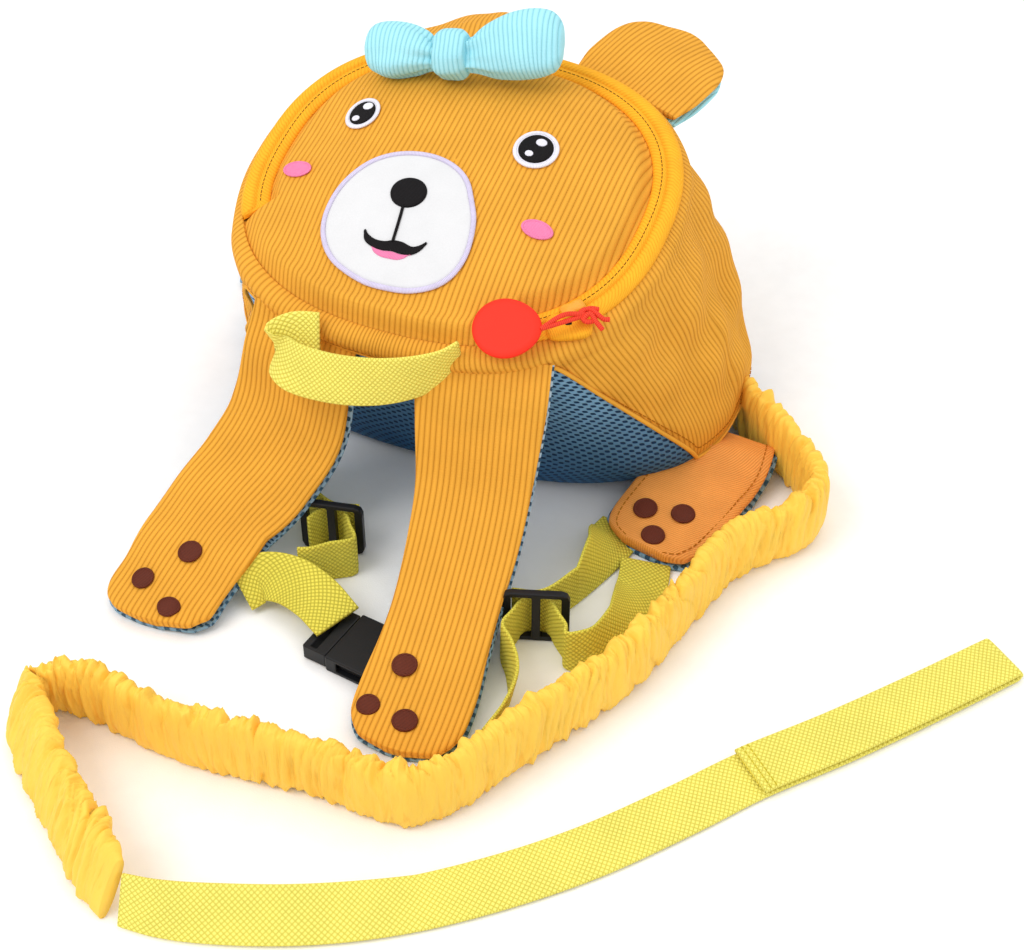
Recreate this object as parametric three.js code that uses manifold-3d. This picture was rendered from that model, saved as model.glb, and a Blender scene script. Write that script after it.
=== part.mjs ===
// Toddler harness backpack: a hollow bear-faced bag that lies on its back, with padded arm straps,
// hip tabs, webbing with adjusters and a chest buckle, and a leash with a gathered sleeve.
// Millimetres. +X is the bear's left, +Y points from the chin to the ears, +Z is up.
// The origin is on the floor at the middle of the bag's flat resting face.
import * as THREE from 'three';
import Module from 'manifold-3d';
import { mergeVertices } from 'three/addons/utils/BufferGeometryUtils.js';

// Driving dimensions of the bag
const FACE_WIDTH = 216;
const FACE_LENGTH = 188;
const FACE_TILT = THREE.MathUtils.degToRad(16);
const RIM_HEIGHT = 140.6;
const RIM_Y = -17;
const SEAM_BELOW_RIM = 12;
const SEAM_CORNER_Y = -92;
const SEAM_SLOPE = 1.75;
const SEAM_SIDE_HEIGHT = 24;
const FACE_PUFF = 18;
const CLOTH = 2.5;
const MESH_CLOTH = 3.5;
const GAP = 0.4;

// Zip and its pull
const ZIP_WIDTH = 11;
const ZIP_THICKNESS = 2.4;
const ZIP_START = THREE.MathUtils.degToRad(-52);
const ZIP_END = THREE.MathUtils.degToRad(205);
const SLIDER_LENGTH = 12;
const SLIDER_WIDTH = 8;
const SLIDER_HEIGHT = 4;
const TAG_RADIUS = 16;
const TAG_THICKNESS = 2.6;
const TAG_SIDES = 22;
const TAG_PLACE = { u: 57, v: -85, lift: 11.5 };
const TAG_TILT = THREE.MathUtils.degToRad(20);
const SLIDER_ANGLE = THREE.MathUtils.degToRad(5);
const PULL_CORD = 3.6;

// Face features, in the face's own plane
const FEATURE_U = -14;
const PATCH_THICKNESS = 1.4;
const MUZZLE_WIDTH = 75;
const MUZZLE_HEIGHT = 76;
const MUZZLE_V = -42;
const NOSE_WIDTH = 18;
const NOSE_HEIGHT = 16;
const NOSE_V = -29;
const EYE_WIDTH = 23;
const EYE_HEIGHT = 26;
const EYE_SPREAD = 97;
const EYE_V = 17;
const CHEEK_WIDTH = 15;
const CHEEK_HEIGHT = 9;
const CHEEK_SPREAD = 132;
const CHEEK_V = -26;

// Ears and bow
const EAR_LENGTH = 60;
const EAR_ROOT_WIDTH = 70;
const EAR_THICKNESS = 5;
const EAR_LINING = 4.5;
const BOW_WIDTH = 112;
const BOW_HEIGHT = 40;
const BOW_THICKNESS = 20;
const KNOT_WIDTH = 20;

// Arms, hip tabs and webbing
const ARM_WIDTH = 57;
const ARM_THICKNESS = 6;
const ARM_LINING = 3;
const ARM_REACH_LEFT = 146;
const ARM_REACH_RIGHT = 120;
const ARM_ROOT_HEIGHT = 97;
const PAD_THICKNESS = 1.2;
const PAD_LIFT = 0.3;
const LEG_WIDTH = 52;
const LEG_LENGTH = 88;
const LEG_THICKNESS = 7;
const LEG_LINING = 3;
const WEB_WIDTH = 25;
const WEB_THICKNESS = 2;
const HANDLE_WIDTH = 25;
const HANDLE_THICKNESS = 2.2;
const ADJUSTER_WIDTH = 32;
const ADJUSTER_HEIGHT = 31;
const ADJUSTER_BAR = 4;
const ADJUSTER_DEPTH = 4;
const ADJUSTER_CORNER = 4;
const BUCKLE_WIDTH = 32;
const BUCKLE_LENGTH = 42;
const BUCKLE_THICKNESS = 9.4;

// Leash
const LEASH_WIDTH = 38;
const LEASH_THICKNESS = 2.4;
const SLEEVE_HEIGHT = 40;
const SLEEVE_THICKNESS = 15;
const GATHERS = 40;

const { cos, sin, tan, abs, sign, max, min, PI } = Math;
const vec = (x, y, z) => new THREE.Vector3(x, y, z);
const mix = THREE.MathUtils.lerp;
const smooth = THREE.MathUtils.smoothstep;
const part = new THREE.Group();

const MATERIALS = {
  corduroy: { color: '#e0962b', roughness: 0.92 },
  satin_rib: { color: '#dc8436', roughness: 0.6 },
  zip_tape: { color: '#f4ac2c', roughness: 0.8 },
  blue_mesh: { color: '#3f6f94', roughness: 0.85 },
  aqua_rib: { color: '#8fdde2', roughness: 0.9 },
  white_felt: { color: '#efeef0', roughness: 0.95 },
  dark_thread: { color: '#231a1c', roughness: 0.8 },
  pink_thread: { color: '#e987a8', roughness: 0.8 },
  brown_thread: { color: '#5a2617', roughness: 0.8 },
  yellow_webbing: { color: '#e9d93c', roughness: 0.85 },
  black_plastic: { color: '#17181b', roughness: 0.45 },
  red_plastic: { color: '#fb4531', roughness: 0.5 },
  sleeve_cloth: { color: '#fcb52b', roughness: 0.75 },
};

// Adds one named body of a finish
function addNode(name, geometry, finish) {
  const mesh = new THREE.Mesh(geometry, new THREE.MeshStandardMaterial(MATERIALS[finish]));
  mesh.name = name;
  part.add(mesh);
  return mesh;
}

// Six times the signed volume, which tells which way the faces point
function signedVolume(points, index) {
  let total = 0;
  for (let i = 0; i < index.length; i += 3) {
    const [a, b, c] = [points[index[i]], points[index[i + 1]], points[index[i + 2]]];
    total += a.dot(b.clone().cross(c));
  }
  return total;
}

// One closed body from rings of points. A looped row of rings closes on itself, and an open one
// gets a fan at each end.
function loft(rings, looped = false) {
  const count = rings[0].length;
  const points = rings.flat();
  const index = [];
  const spans = looped ? rings.length : rings.length - 1;
  for (let r = 0; r < spans; r++) {
    const a = r * count;
    const b = ((r + 1) % rings.length) * count;
    for (let k = 0; k < count; k++) {
      const n = (k + 1) % count;
      index.push(a + k, a + n, b + n, a + k, b + n, b + k);
    }
  }
  if (!looped) {
    for (const [ring, flip] of [[0, true], [rings.length - 1, false]]) {
      const middle = points.length;
      const centre = vec(0, 0, 0);
      rings[ring].forEach((p) => centre.add(p));
      points.push(centre.divideScalar(count));
      for (let k = 0; k < count; k++) {
        const a = ring * count + k;
        const b = ring * count + ((k + 1) % count);
        index.push(...(flip ? [b, a, middle] : [a, b, middle]));
      }
    }
  }
  if (signedVolume(points, index) < 0) index.reverse();
  const geometry = new THREE.BufferGeometry();
  geometry.setAttribute('position', new THREE.Float32BufferAttribute(points.flatMap((p) => p.toArray()), 3));
  geometry.setIndex(index);
  geometry.computeVertexNormals();
  return geometry;
}

// A number from a table of rows, smoothly between the rows. place runs from 0 to rows - 1.
function fromTable(rows, column, place) {
  const i = min(max(Math.floor(place), 0), rows.length - 2);
  const f = place - i;
  const at = (k) => rows[min(max(k, 0), rows.length - 1)][column];
  const [a, b, c, d] = [at(i - 1), at(i), at(i + 1), at(i + 2)];
  const bend = (2 * a - 5 * b + 4 * c - d) * f + (3 * (b - c) + d - a) * f * f + (c - a);
  return b + 0.5 * f * bend;
}

const power = (value, exponent) => sign(value) * abs(value) ** exponent;

// The bag's body: closed outlines from the floor to the rim of the face. up is a share of
// RIM_HEIGHT, tilt of FACE_TILT, wide of half FACE_WIDTH, and middle, front and back are shares of
// half FACE_LENGTH, measured along Y from RIM_Y. square is the outline's exponent.
const BODY = [
  { up: 0.0, tilt: 0.0, wide: 0.92, middle: 0.188, front: 0.62, back: 0.62, square: 2.6 },
  { up: 0.035, tilt: 0.0, wide: 1.12, middle: 0.215, front: 0.78, back: 0.76, square: 2.7 },
  { up: 0.17, tilt: 0.04, wide: 1.34, middle: 0.24, front: 0.88, back: 0.90, square: 2.8 },
  { up: 0.40, tilt: 0.28, wide: 1.31, middle: 0.22, front: 0.94, back: 0.98, square: 2.8 },
  { up: 0.66, tilt: 0.62, wide: 1.20, middle: 0.14, front: 1.02, back: 1.06, square: 2.7 },
  { up: 0.86, tilt: 0.90, wide: 1.11, middle: 0.04, front: 1.06, back: 1.09, square: 2.5 },
  { up: 0.95, tilt: 1.0, wide: 1.045, middle: 0.0, front: 1.04, back: 1.05, square: 2.4 },
  { up: 1.0, tilt: 1.0, wide: 1.0, middle: 0.0, front: 1.0, back: 1.0, square: 2.4 },
];
const BODY_TOP = BODY.length - 1;
const HALF_WIDE = FACE_WIDTH / 2;
const HALF_LONG = FACE_LENGTH / 2;

// Folds that run down the gusset: angle round the body, depth and half spread
const GUSSET_FOLDS = [
  { angle: -14, depth: 5.0, spread: 9 },
  { angle: 12, depth: 6.5, spread: 8 },
  { angle: 38, depth: 5.0, spread: 10 },
  { angle: 74, depth: 4.0, spread: 12 },
  { angle: 110, depth: 4.5, spread: 11 },
  { angle: 146, depth: 5.0, spread: 10 },
  { angle: 170, depth: 5.5, spread: 9 },
  { angle: 196, depth: 4.5, spread: 9 },
];

function foldDepth(phi, place) {
  const degrees = THREE.MathUtils.euclideanModulo(THREE.MathUtils.radToDeg(phi) + 90, 360) - 90;
  const low = smooth(place, 2.2, 3.6) * (1 - smooth(place, 4.6, 6.6));
  let depth = 0;
  for (const fold of GUSSET_FOLDS) {
    depth += fold.depth * Math.exp(-(((degrees - fold.angle) / fold.spread) ** 2));
  }
  return depth * low;
}

function bodyPoint(phi, place) {
  const square = 2 / fromTable(BODY, 'square', place);
  const along = sin(phi) >= 0 ? 'back' : 'front';
  const inward = foldDepth(phi, place);
  const wide = fromTable(BODY, 'wide', place) * HALF_WIDE - inward;
  const long = fromTable(BODY, along, place) * HALF_LONG - inward;
  const middle = fromTable(BODY, 'middle', place) * HALF_LONG;
  const y = (middle + long * power(sin(phi), square)) * cos(FACE_TILT);
  const slope = tan(fromTable(BODY, 'tilt', place) * FACE_TILT);
  const z = fromTable(BODY, 'up', place) * RIM_HEIGHT + slope * y;
  return vec(wide * power(cos(phi), square), RIM_Y + y, z);
}

const STEP = 0.01;
function bodyNormal(phi, place) {
  const low = min(max(place, STEP), BODY_TOP - STEP);
  const around = bodyPoint(phi + STEP, low).sub(bodyPoint(phi - STEP, low));
  const upward = bodyPoint(phi, low + STEP).sub(bodyPoint(phi, low - STEP));
  return around.cross(upward).normalize();
}

// The seam between the corduroy gusset and the mesh back runs below the rim at the chin, and from
// the corners of the chin it falls to the hips
function seamHeight(y) {
  const chin = RIM_HEIGHT + tan(FACE_TILT) * (y - RIM_Y) - SEAM_BELOW_RIM;
  const fall = chin - SEAM_SLOPE * max(y - SEAM_CORNER_Y, 0);
  return max(min(chin, fall), SEAM_SIDE_HEIGHT);
}

function seamPlace(phi) {
  let low = 0.2;
  let high = BODY_TOP;
  for (let i = 0; i < 26; i++) {
    const middle = (low + high) / 2;
    const p = bodyPoint(phi, middle);
    if (p.z < seamHeight(p.y)) low = middle;
    else high = middle;
  }
  return low;
}

const AROUND = 40;
const angles = Array.from({ length: AROUND }, (_, k) => (k / AROUND) * 2 * PI);

// A ring of the body's surface, moved inward by depth. pick gives the place on the table at an angle.
function bodyRing(pick, depth) {
  return angles.map((phi) => bodyPoint(phi, pick(phi)).addScaledVector(bodyNormal(phi, pick(phi)), -depth));
}

// How far to move along the table for a gap of so many millimetres
function placeStep(phi, place, distance) {
  const rise = bodyPoint(phi, place + STEP).distanceTo(bodyPoint(phi, place));
  return (distance * STEP) / rise;
}

function gusset() {
  const rows = 8;
  const top = BODY_TOP - 0.02;
  const rings = [];
  const at = (row) => (phi) => {
    const seam = seamPlace(phi);
    const start = seam + placeStep(phi, seam, GAP);
    return mix(start, top, row / rows);
  };
  const flange = (lift) => angles.map((phi) => {
    const { u, v } = rimPoint(phi, FLANGE_SHARE);
    return onFacePlane(u, v, lift);
  });
  for (let row = 0; row <= rows; row++) rings.push(bodyRing(at(row), 0));
  rings.push(flange(0), flange(-CLOTH));
  for (let row = rows; row >= 0; row--) rings.push(bodyRing(at(row), CLOTH));
  return loft(rings, true);
}

function backPanel() {
  const flatShares = [0.35, 0.75];
  const rows = 5;
  const middle = RIM_Y + BODY[0].middle * HALF_LONG * cos(FACE_TILT);
  const floorRing = (share, lift) => angles.map((phi) => {
    const p = bodyPoint(phi, 0);
    return vec(p.x * share, middle + (p.y - middle) * share, lift);
  });
  const at = (row) => (phi) => {
    const seam = seamPlace(phi);
    return (seam - placeStep(phi, seam, GAP)) * (row / rows) ** 1.3;
  };
  const wall = [];
  for (let row = 0; row <= rows; row++) wall.push(row);
  const outside = flatShares.map((share) => floorRing(share, 0)).concat(wall.map((row) => bodyRing(at(row), 0)));
  const inside = flatShares.map((share) => floorRing(share, MESH_CLOTH));
  for (const row of wall) inside.push(bodyRing(at(row), MESH_CLOTH));
  return loft(outside.concat(inside.reverse()));
}

// The face's own plane: u to the bear's left, v towards the ears, lift out of the face
const FACE_CENTRE = vec(0, RIM_Y, RIM_HEIGHT);
const FACE_V = vec(0, cos(FACE_TILT), sin(FACE_TILT));
const FACE_N = vec(0, -sin(FACE_TILT), cos(FACE_TILT));
const RIM_SQUARE = BODY[BODY_TOP].square;

function onFacePlane(u, v, lift) {
  return FACE_CENTRE.clone().add(vec(u, 0, 0)).addScaledVector(FACE_V, v).addScaledVector(FACE_N, lift);
}

function rimPoint(phi, share) {
  const e = 2 / RIM_SQUARE;
  return { u: HALF_WIDE * share * power(cos(phi), e), v: HALF_LONG * share * power(sin(phi), e) };
}

function puff(u, v) {
  const r = (abs(u / HALF_WIDE) ** RIM_SQUARE + abs(v / HALF_LONG) ** RIM_SQUARE) ** (1 / RIM_SQUARE);
  return FACE_PUFF * (1 - min(r, 1) ** 2.6);
}

function onFace(u, v, lift) {
  return onFacePlane(u, v, puff(u, v) + lift);
}

// Where the zip runs, the face panel ends inside its tape, and at the chin it covers the gusset
const ZIP_SHARE = 1 - (ZIP_WIDTH + GAP) / HALF_LONG;
const FACE_BASE = 0.4;
// The gusset turns in under the zip and the face's edge
const FLANGE_SHARE = ZIP_SHARE - 0.03;
function zipCover(phi) {
  const degrees = THREE.MathUtils.euclideanModulo(THREE.MathUtils.radToDeg(phi) + 100, 360) - 100;
  const start = THREE.MathUtils.radToDeg(ZIP_START);
  const end = THREE.MathUtils.radToDeg(ZIP_END);
  return smooth(degrees, start - 5, start - 1) * (1 - smooth(degrees, end + 1, end + 5));
}

function facePanel() {
  const shares = [0.25, 0.5, 0.7, 0.85, 0.95, 1.0];
  const edge = (phi) => mix(1.0, ZIP_SHARE, zipCover(phi));
  const ring = (share, depth) => angles.map((phi) => {
    const { u, v } = rimPoint(phi, share * edge(phi));
    return onFacePlane(u, v, puff(u, v) + FACE_BASE + depth);
  });
  const outside = shares.map((share) => ring(share, CLOTH));
  const inside = shares.map((share) => ring(share, 0));
  return loft(outside.concat(inside.reverse()));
}

function zipTape() {
  const steps = 40;
  const rings = [];
  const widthShare = ZIP_WIDTH / HALF_LONG;
  for (let i = 0; i <= steps; i++) {
    const phi = mix(ZIP_START, ZIP_END, i / steps);
    const corners = [[1, 0], [1 - widthShare, 0], [1 - widthShare, 1], [1 - widthShare / 2, 0.75], [1, 1]];
    rings.push(corners.map(([share, top]) => {
      const { u, v } = rimPoint(phi, share);
      return onFacePlane(u, v, FACE_BASE + top * ZIP_THICKNESS);
    }));
  }
  return loft(rings);
}

// A thin piece that lies on the face. outline gives u and v at an angle and a share of its size.
function facePatch(outline, lift, sides = 20, shares = [0.45, 1.0]) {
  const ring = (share, height) => Array.from({ length: sides }, (_, k) => {
    const { u, v } = outline((k / sides) * 2 * PI, share);
    return onFace(u, v, height);
  });
  const outside = shares.map((share) => ring(share, lift + PATCH_THICKNESS));
  const inside = shares.map((share) => ring(share, lift));
  return loft(outside.concat(inside.reverse()));
}

const oval = (u, v, width, height) => (phi, share) => ({
  u: u + (share * width * cos(phi)) / 2,
  v: v + (share * height * sin(phi)) / 2,
});

// The muzzle is narrower at its top than at its bottom
const muzzle = (phi, share) => ({
  u: FEATURE_U + share * (MUZZLE_WIDTH / 2) * cos(phi) * (1 - 0.2 * sin(phi)),
  v: MUZZLE_V + (share * MUZZLE_HEIGHT * power(sin(phi), 0.9)) / 2,
});

const FACE_LIFT = FACE_BASE + CLOTH + 0.3;
const PATCH_LIFT = FACE_LIFT + PATCH_THICKNESS + 0.3;

function addFace() {
  addNode('muzzle_patch', facePatch(muzzle, FACE_LIFT, 28, [0.3, 0.65, 1.0]), 'white_felt');
  addNode('nose', facePatch(oval(FEATURE_U, NOSE_V, NOSE_WIDTH, NOSE_HEIGHT), PATCH_LIFT, 14), 'dark_thread');
  for (const [side, name] of [[-1, 'right'], [1, 'left']]) {
    const eye = oval(FEATURE_U + (side * EYE_SPREAD) / 2, EYE_V, EYE_WIDTH, EYE_HEIGHT);
    addNode(`eye_${name}`, facePatch(eye, FACE_LIFT, 16), 'dark_thread');
    const cheek = oval(FEATURE_U + (side * CHEEK_SPREAD) / 2, CHEEK_V, CHEEK_WIDTH, CHEEK_HEIGHT);
    addNode(`cheek_${name}`, facePatch(cheek, FACE_LIFT, 12), 'pink_thread');
  }
}

// A soft strip along a path. rows hold a point, a width direction, a half width and a half
// thickness; the section is a rounded one with so many sides.
function strip(rows, sides = 8, square = 0.6) {
  return loft(rows.map((row, i) => {
    const before = rows[max(i - 1, 0)].point;
    const after = rows[min(i + 1, rows.length - 1)].point;
    const ahead = after.clone().sub(before).normalize();
    const across = row.across.clone().addScaledVector(ahead, -row.across.dot(ahead)).normalize();
    const out = ahead.clone().cross(across);
    return Array.from({ length: sides }, (_, k) => {
      const phi = ((k + 0.5) / sides) * 2 * PI;
      return row.point.clone()
        .addScaledVector(across, row.half * power(cos(phi), square))
        .addScaledVector(out, row.thick * power(sin(phi), square));
    });
  }));
}

// Rows of a strip along a smooth curve through chosen points, with one size all along
function rowsAlong(points, steps, half, thick, acrossAt) {
  const curve = new THREE.CatmullRomCurve3(points, false, 'centripetal');
  return Array.from({ length: steps + 1 }, (_, i) => {
    const share = i / steps;
    return { point: curve.getPointAt(share), across: acrossAt(share), half, thick };
  });
}

// Woven tape: a flat strip with square corners
const tapeSection = (rows) => strip(rows, 4, 0.01);

// Ears: a corduroy back and an aqua lining, sewn on just outside the zip.
// along and wide are shares of EAR_LENGTH and EAR_ROOT_WIDTH.
const EAR = [
  { along: 0.0, wide: 0.92, curl: 0.0 },
  { along: 0.25, wide: 1.0, curl: 0.5 },
  { along: 0.55, wide: 0.98, curl: 1.0 },
  { along: 0.8, wide: 0.8, curl: 0.8 },
  { along: 0.94, wide: 0.5, curl: 0.5 },
  { along: 1.0, wide: 0.22, curl: 0.3 },
];
const EARS = [
  { name: 'left', root: [56, 80], height: 154, across: [0.87, -0.46, -0.14], forward: [0.28, 0.95, 0.04] },
  { name: 'right', root: [-62, 79], height: 150, across: [0.86, 0.42, 0.24], forward: [-0.2, 0.96, -0.12] },
];
const EAR_CURL = 5;

function addEars() {
  for (const ear of EARS) {
    const forward = vec(...ear.forward);
    const across = vec(...ear.across);
    const upward = across.clone().cross(forward).normalize();
    const layer = (offset, thickness) => strip(EAR.map((row) => ({
      point: vec(...ear.root, ear.height).addScaledVector(forward, row.along * EAR_LENGTH)
        .addScaledVector(upward, offset + row.curl * EAR_CURL),
      across,
      half: (row.wide * EAR_ROOT_WIDTH) / 2,
      thick: thickness / 2,
    })), 10, 0.7);
    addNode(`ear_${ear.name}`, layer((EAR_THICKNESS + GAP) / 2, EAR_THICKNESS), 'corduroy');
    addNode(`ear_lining_${ear.name}`, layer(-(EAR_LINING + GAP) / 2 - GAP, EAR_LINING), 'aqua_rib');
  }
}

// The bow lies on the face near the ears: two stuffed loops and a knot round their middle.
// along, high and thick are shares of half BOW_WIDTH, BOW_HEIGHT and BOW_THICKNESS.
const BOW_LOOP = [
  { along: 0.16, high: 0.55, thick: 0.5, rise: 0.0 },
  { along: 0.32, high: 0.78, thick: 0.85, rise: 0.04 },
  { along: 0.55, high: 1.0, thick: 1.0, rise: 0.1 },
  { along: 0.78, high: 1.0, thick: 0.95, rise: 0.12 },
  { along: 0.93, high: 0.78, thick: 0.7, rise: 0.12 },
  { along: 1.0, high: 0.4, thick: 0.35, rise: 0.12 },
];
const BOW_CENTRE = { u: -27, v: 56, lift: 19 };
const BOW_TURN = 0.18;
const BOW_LEAN = 0.75;
const BOW_RISE = 0.16;

function addBow() {
  const centre = onFace(BOW_CENTRE.u, BOW_CENTRE.v, BOW_CENTRE.lift);
  const aside = vec(cos(BOW_TURN), sin(BOW_TURN), BOW_RISE).normalize();
  const upright = vec(0, cos(BOW_LEAN), sin(BOW_LEAN));
  for (const [side, name] of [[-1, 'right'], [1, 'left']]) {
    addNode(`bow_loop_${name}`, strip(BOW_LOOP.map((row) => ({
      point: centre.clone().addScaledVector(aside, (side * row.along * BOW_WIDTH) / 2)
        .addScaledVector(upright, row.rise * BOW_HEIGHT),
      across: upright,
      half: (row.high * BOW_HEIGHT) / 2,
      thick: (row.thick * BOW_THICKNESS) / 2,
    })), 10, 0.9), 'aqua_rib');
  }
  const knotHalf = BOW_WIDTH * 0.08 - 4 * GAP;
  const knot = [-1, -0.6, 0, 0.6, 1].map((share) => ({
    point: centre.clone().addScaledVector(aside, share * knotHalf),
    across: upright,
    half: (KNOT_WIDTH / 2) * (1.25 - 0.35 * share * share),
    thick: (KNOT_WIDTH / 2) * (0.95 - 0.3 * share * share),
  }));
  addNode('bow_knot', strip(knot, 10, 0.9), 'aqua_rib');
}

// A strip's own frames: the direction across and the direction out of its upper side at each row
function framesOf(rows) {
  return rows.map((row, i) => {
    const before = rows[max(i - 1, 0)].point;
    const after = rows[min(i + 1, rows.length - 1)].point;
    const ahead = after.clone().sub(before).normalize();
    const across = row.across.clone().addScaledVector(ahead, -row.across.dot(ahead)).normalize();
    return { ...row, across, out: ahead.clone().cross(across) };
  });
}

// The same strip moved out of its upper side, with another thickness
function layerOf(frames, offset, thickness) {
  return frames.map((f) => ({
    point: f.point.clone().addScaledVector(f.out, offset),
    across: f.across,
    half: f.half,
    thick: thickness / 2,
  }));
}

// Arms drop from under the chin and then lie on the floor. forward is a share of the arm's reach,
// height of ARM_ROOT_HEIGHT above ARM_FLOOR, wide of ARM_WIDTH. bend moves the middle
// to the bear's left in millimetres, and paw widens the end.
const ARM = [
  { forward: 0.0, height: 1.0, wide: 1.14 },
  { forward: 0.03, height: 0.84, wide: 1.08 },
  { forward: 0.12, height: 0.56, wide: 0.98 },
  { forward: 0.27, height: 0.36, wide: 0.88 },
  { forward: 0.44, height: 0.21, wide: 0.86 },
  { forward: 0.62, height: 0.14, wide: 0.89 },
  { forward: 0.78, height: 0.08, wide: 0.97 },
  { forward: 0.90, height: 0.03, wide: 0.92 },
  { forward: 0.97, height: 0.01, wide: 0.7 },
  { forward: 1.0, height: 0.0, wide: 0.4 },
];
const ARMS = [
  { name: 'left', root: [47, -114.5], heading: 10, turn: 13, bend: 5, reach: ARM_REACH_LEFT, paw: 1.0 },
  { name: 'right', root: [-54, -112.5], heading: -8, turn: -3, bend: 4, reach: ARM_REACH_RIGHT, paw: 1.15 },
];
const ARM_FLOOR = ARM_LINING + GAP + 0.3;

function armFrames(arm) {
  const heading = THREE.MathUtils.degToRad(arm.heading);
  const turn = THREE.MathUtils.degToRad(arm.turn);
  return framesOf(ARM.map((row) => ({
    point: vec(
      arm.root[0] + sin(heading) * row.forward * arm.reach + arm.bend * sin(PI * row.forward),
      arm.root[1] - cos(heading) * row.forward * arm.reach,
      ARM_FLOOR + row.height * (ARM_ROOT_HEIGHT - ARM_FLOOR),
    ),
    across: vec(cos(turn), sin(turn), 0),
    half: (row.wide * ARM_WIDTH * mix(1, arm.paw, smooth(row.forward, 0.3, 0.75))) / 2,
  })));
}

// Paw pads: stitched ovals. place is a row of the limb's table, side a share of its half width, and
// size a length in millimetres.
const ARM_PADS = {
  left: [
    { place: 5.6, side: -0.4, size: 12 },
    { place: 6.8, side: -0.74, size: 11 },
    { place: 7.0, side: -0.04, size: 12 },
  ],
  right: [
    { place: 5.3, side: -0.13, size: 12 },
    { place: 6.8, side: -0.5, size: 11 },
    { place: 7.35, side: 0.36, size: 12 },
  ],
};
const PAD_SIDES = 8;

// A point on a limb's upper side, raised by lift
function limbPoint(frames, place, side, thick, square, lift) {
  const i = min(Math.floor(place), frames.length - 2);
  const n = 2 / square;
  const rise = thick * (1 - min(abs(side), 1) ** n) ** (1 / n) + lift;
  const at = (f) => f.point.clone().addScaledVector(f.across, side * f.half).addScaledVector(f.out, rise);
  return at(frames[i]).lerp(at(frames[i + 1]), place - i);
}

function addPads(limb, frames, pads, thickness, square) {
  pads.forEach((pad, number) => {
    const i = Math.floor(pad.place);
    const rowLength = frames[i + 1].point.distanceTo(frames[i].point);
    const ring = (share, lift) => Array.from({ length: PAD_SIDES }, (_, k) => {
      const phi = (k / PAD_SIDES) * 2 * PI;
      const place = pad.place + (share * pad.size * sin(phi)) / 2 / rowLength;
      const side = pad.side + (share * pad.size * cos(phi)) / 2 / frames[i].half;
      return limbPoint(frames, place, side, thickness / 2, square, thickness / 2 + lift);
    });
    const body = [ring(0.5, PAD_LIFT + PAD_THICKNESS), ring(1, PAD_LIFT + PAD_THICKNESS * 0.7), ring(1, PAD_LIFT)];
    addNode(`pad_${limb}_${number + 1}`, loft([...body, ring(0.5, PAD_LIFT)]), 'brown_thread');
  });
}

const LIMB_SQUARE = 0.55;
const LIMB_SIDES = 12;

function addLimb(name, frames, thickness, lining, finish) {
  addNode(name, strip(layerOf(frames, thickness / 2, thickness), LIMB_SIDES, LIMB_SQUARE), finish);
  const under = layerOf(frames, -lining / 2 - GAP, lining);
  addNode(`${name}_lining`, strip(under, LIMB_SIDES, LIMB_SQUARE), 'blue_mesh');
}

function addArms() {
  for (const arm of ARMS) {
    const frames = armFrames(arm);
    addLimb(`arm_${arm.name}`, frames, ARM_THICKNESS, ARM_LINING, 'corduroy');
    addPads(`arm_${arm.name}`, frames, ARM_PADS[arm.name], ARM_THICKNESS, LIMB_SQUARE);
  }
}

// Hip tabs, shaped as hind legs: sewn to the corners of the back and lying forward on the floor.
// out, along and up are shares of LEG_LENGTH from the corner, and turn is in degrees.
const LEG = [
  { out: 0.0, along: 0.0, up: 0.16, turn: 74, wide: 0.4 },
  { out: 0.0, along: 0.18, up: 0.15, turn: 54, wide: 0.6 },
  { out: -0.05, along: 0.40, up: 0.1, turn: 32, wide: 0.86 },
  { out: -0.11, along: 0.63, up: 0.05, turn: 17, wide: 1.0 },
  { out: -0.16, along: 0.82, up: 0.02, turn: 12, wide: 0.9 },
  { out: -0.18, along: 0.93, up: 0.005, turn: 12, wide: 0.66 },
  { out: -0.19, along: 0.98, up: 0.0, turn: 12, wide: 0.36 },
];
const LEG_CORNER = { x: 154, y: -14, back: 4 };
// The bear's right tab is turned back along the bag's side
const LEGS = [
  { name: 'left', side: 1, x: LEG_CORNER.x, y: LEG_CORNER.y, rise: 1 },
  { name: 'right', side: -1, x: LEG_CORNER.x + 6, y: LEG_CORNER.back, rise: 0.2 },
];
const LEG_FLOOR = LEG_LINING + GAP + 0.3;
const LEG_PADS = [
  { place: 2.95, side: -0.42, size: 11 },
  { place: 3.0, side: 0.3, size: 11 },
  { place: 3.9, side: -0.1, size: 11 },
];

function legFrames({ side, x: corner, y, rise }) {
  return framesOf(LEG.map((row) => {
    const turn = THREE.MathUtils.degToRad(row.turn);
    const x = corner + row.out * LEG_LENGTH;
    return {
      point: vec(side * x, y - side * row.along * LEG_LENGTH, LEG_FLOOR + rise * row.up * LEG_LENGTH),
      across: vec(side * cos(turn), side * sin(turn), 0),
      half: (row.wide * LEG_WIDTH) / 2,
    };
  }));
}

function addLegs() {
  for (const leg of LEGS) {
    const frames = legFrames(leg);
    addLimb(`leg_${leg.name}`, frames, LEG_THICKNESS, LEG_LINING, 'satin_rib');
    addPads(`leg_${leg.name}`, frames, LEG_PADS, LEG_THICKNESS, LIMB_SQUARE);
  }
}

// The grab handle: a loop of webbing from under the chin, leaning back
const HANDLE = [
  vec(-28, -120, 105.5), vec(-40, -123, 104), vec(-46, -130, 101), vec(-38, -136, 98), vec(-18, -137, 97),
  vec(6, -134, 99), vec(27, -127, 102), vec(40, -120.5, 105.5),
];
// The direction across the webbing at the handle's two ends
const HANDLE_LEAN = [vec(-0.1, 0.45, 0.89), vec(0.05, 0.5, 0.87)];

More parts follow.
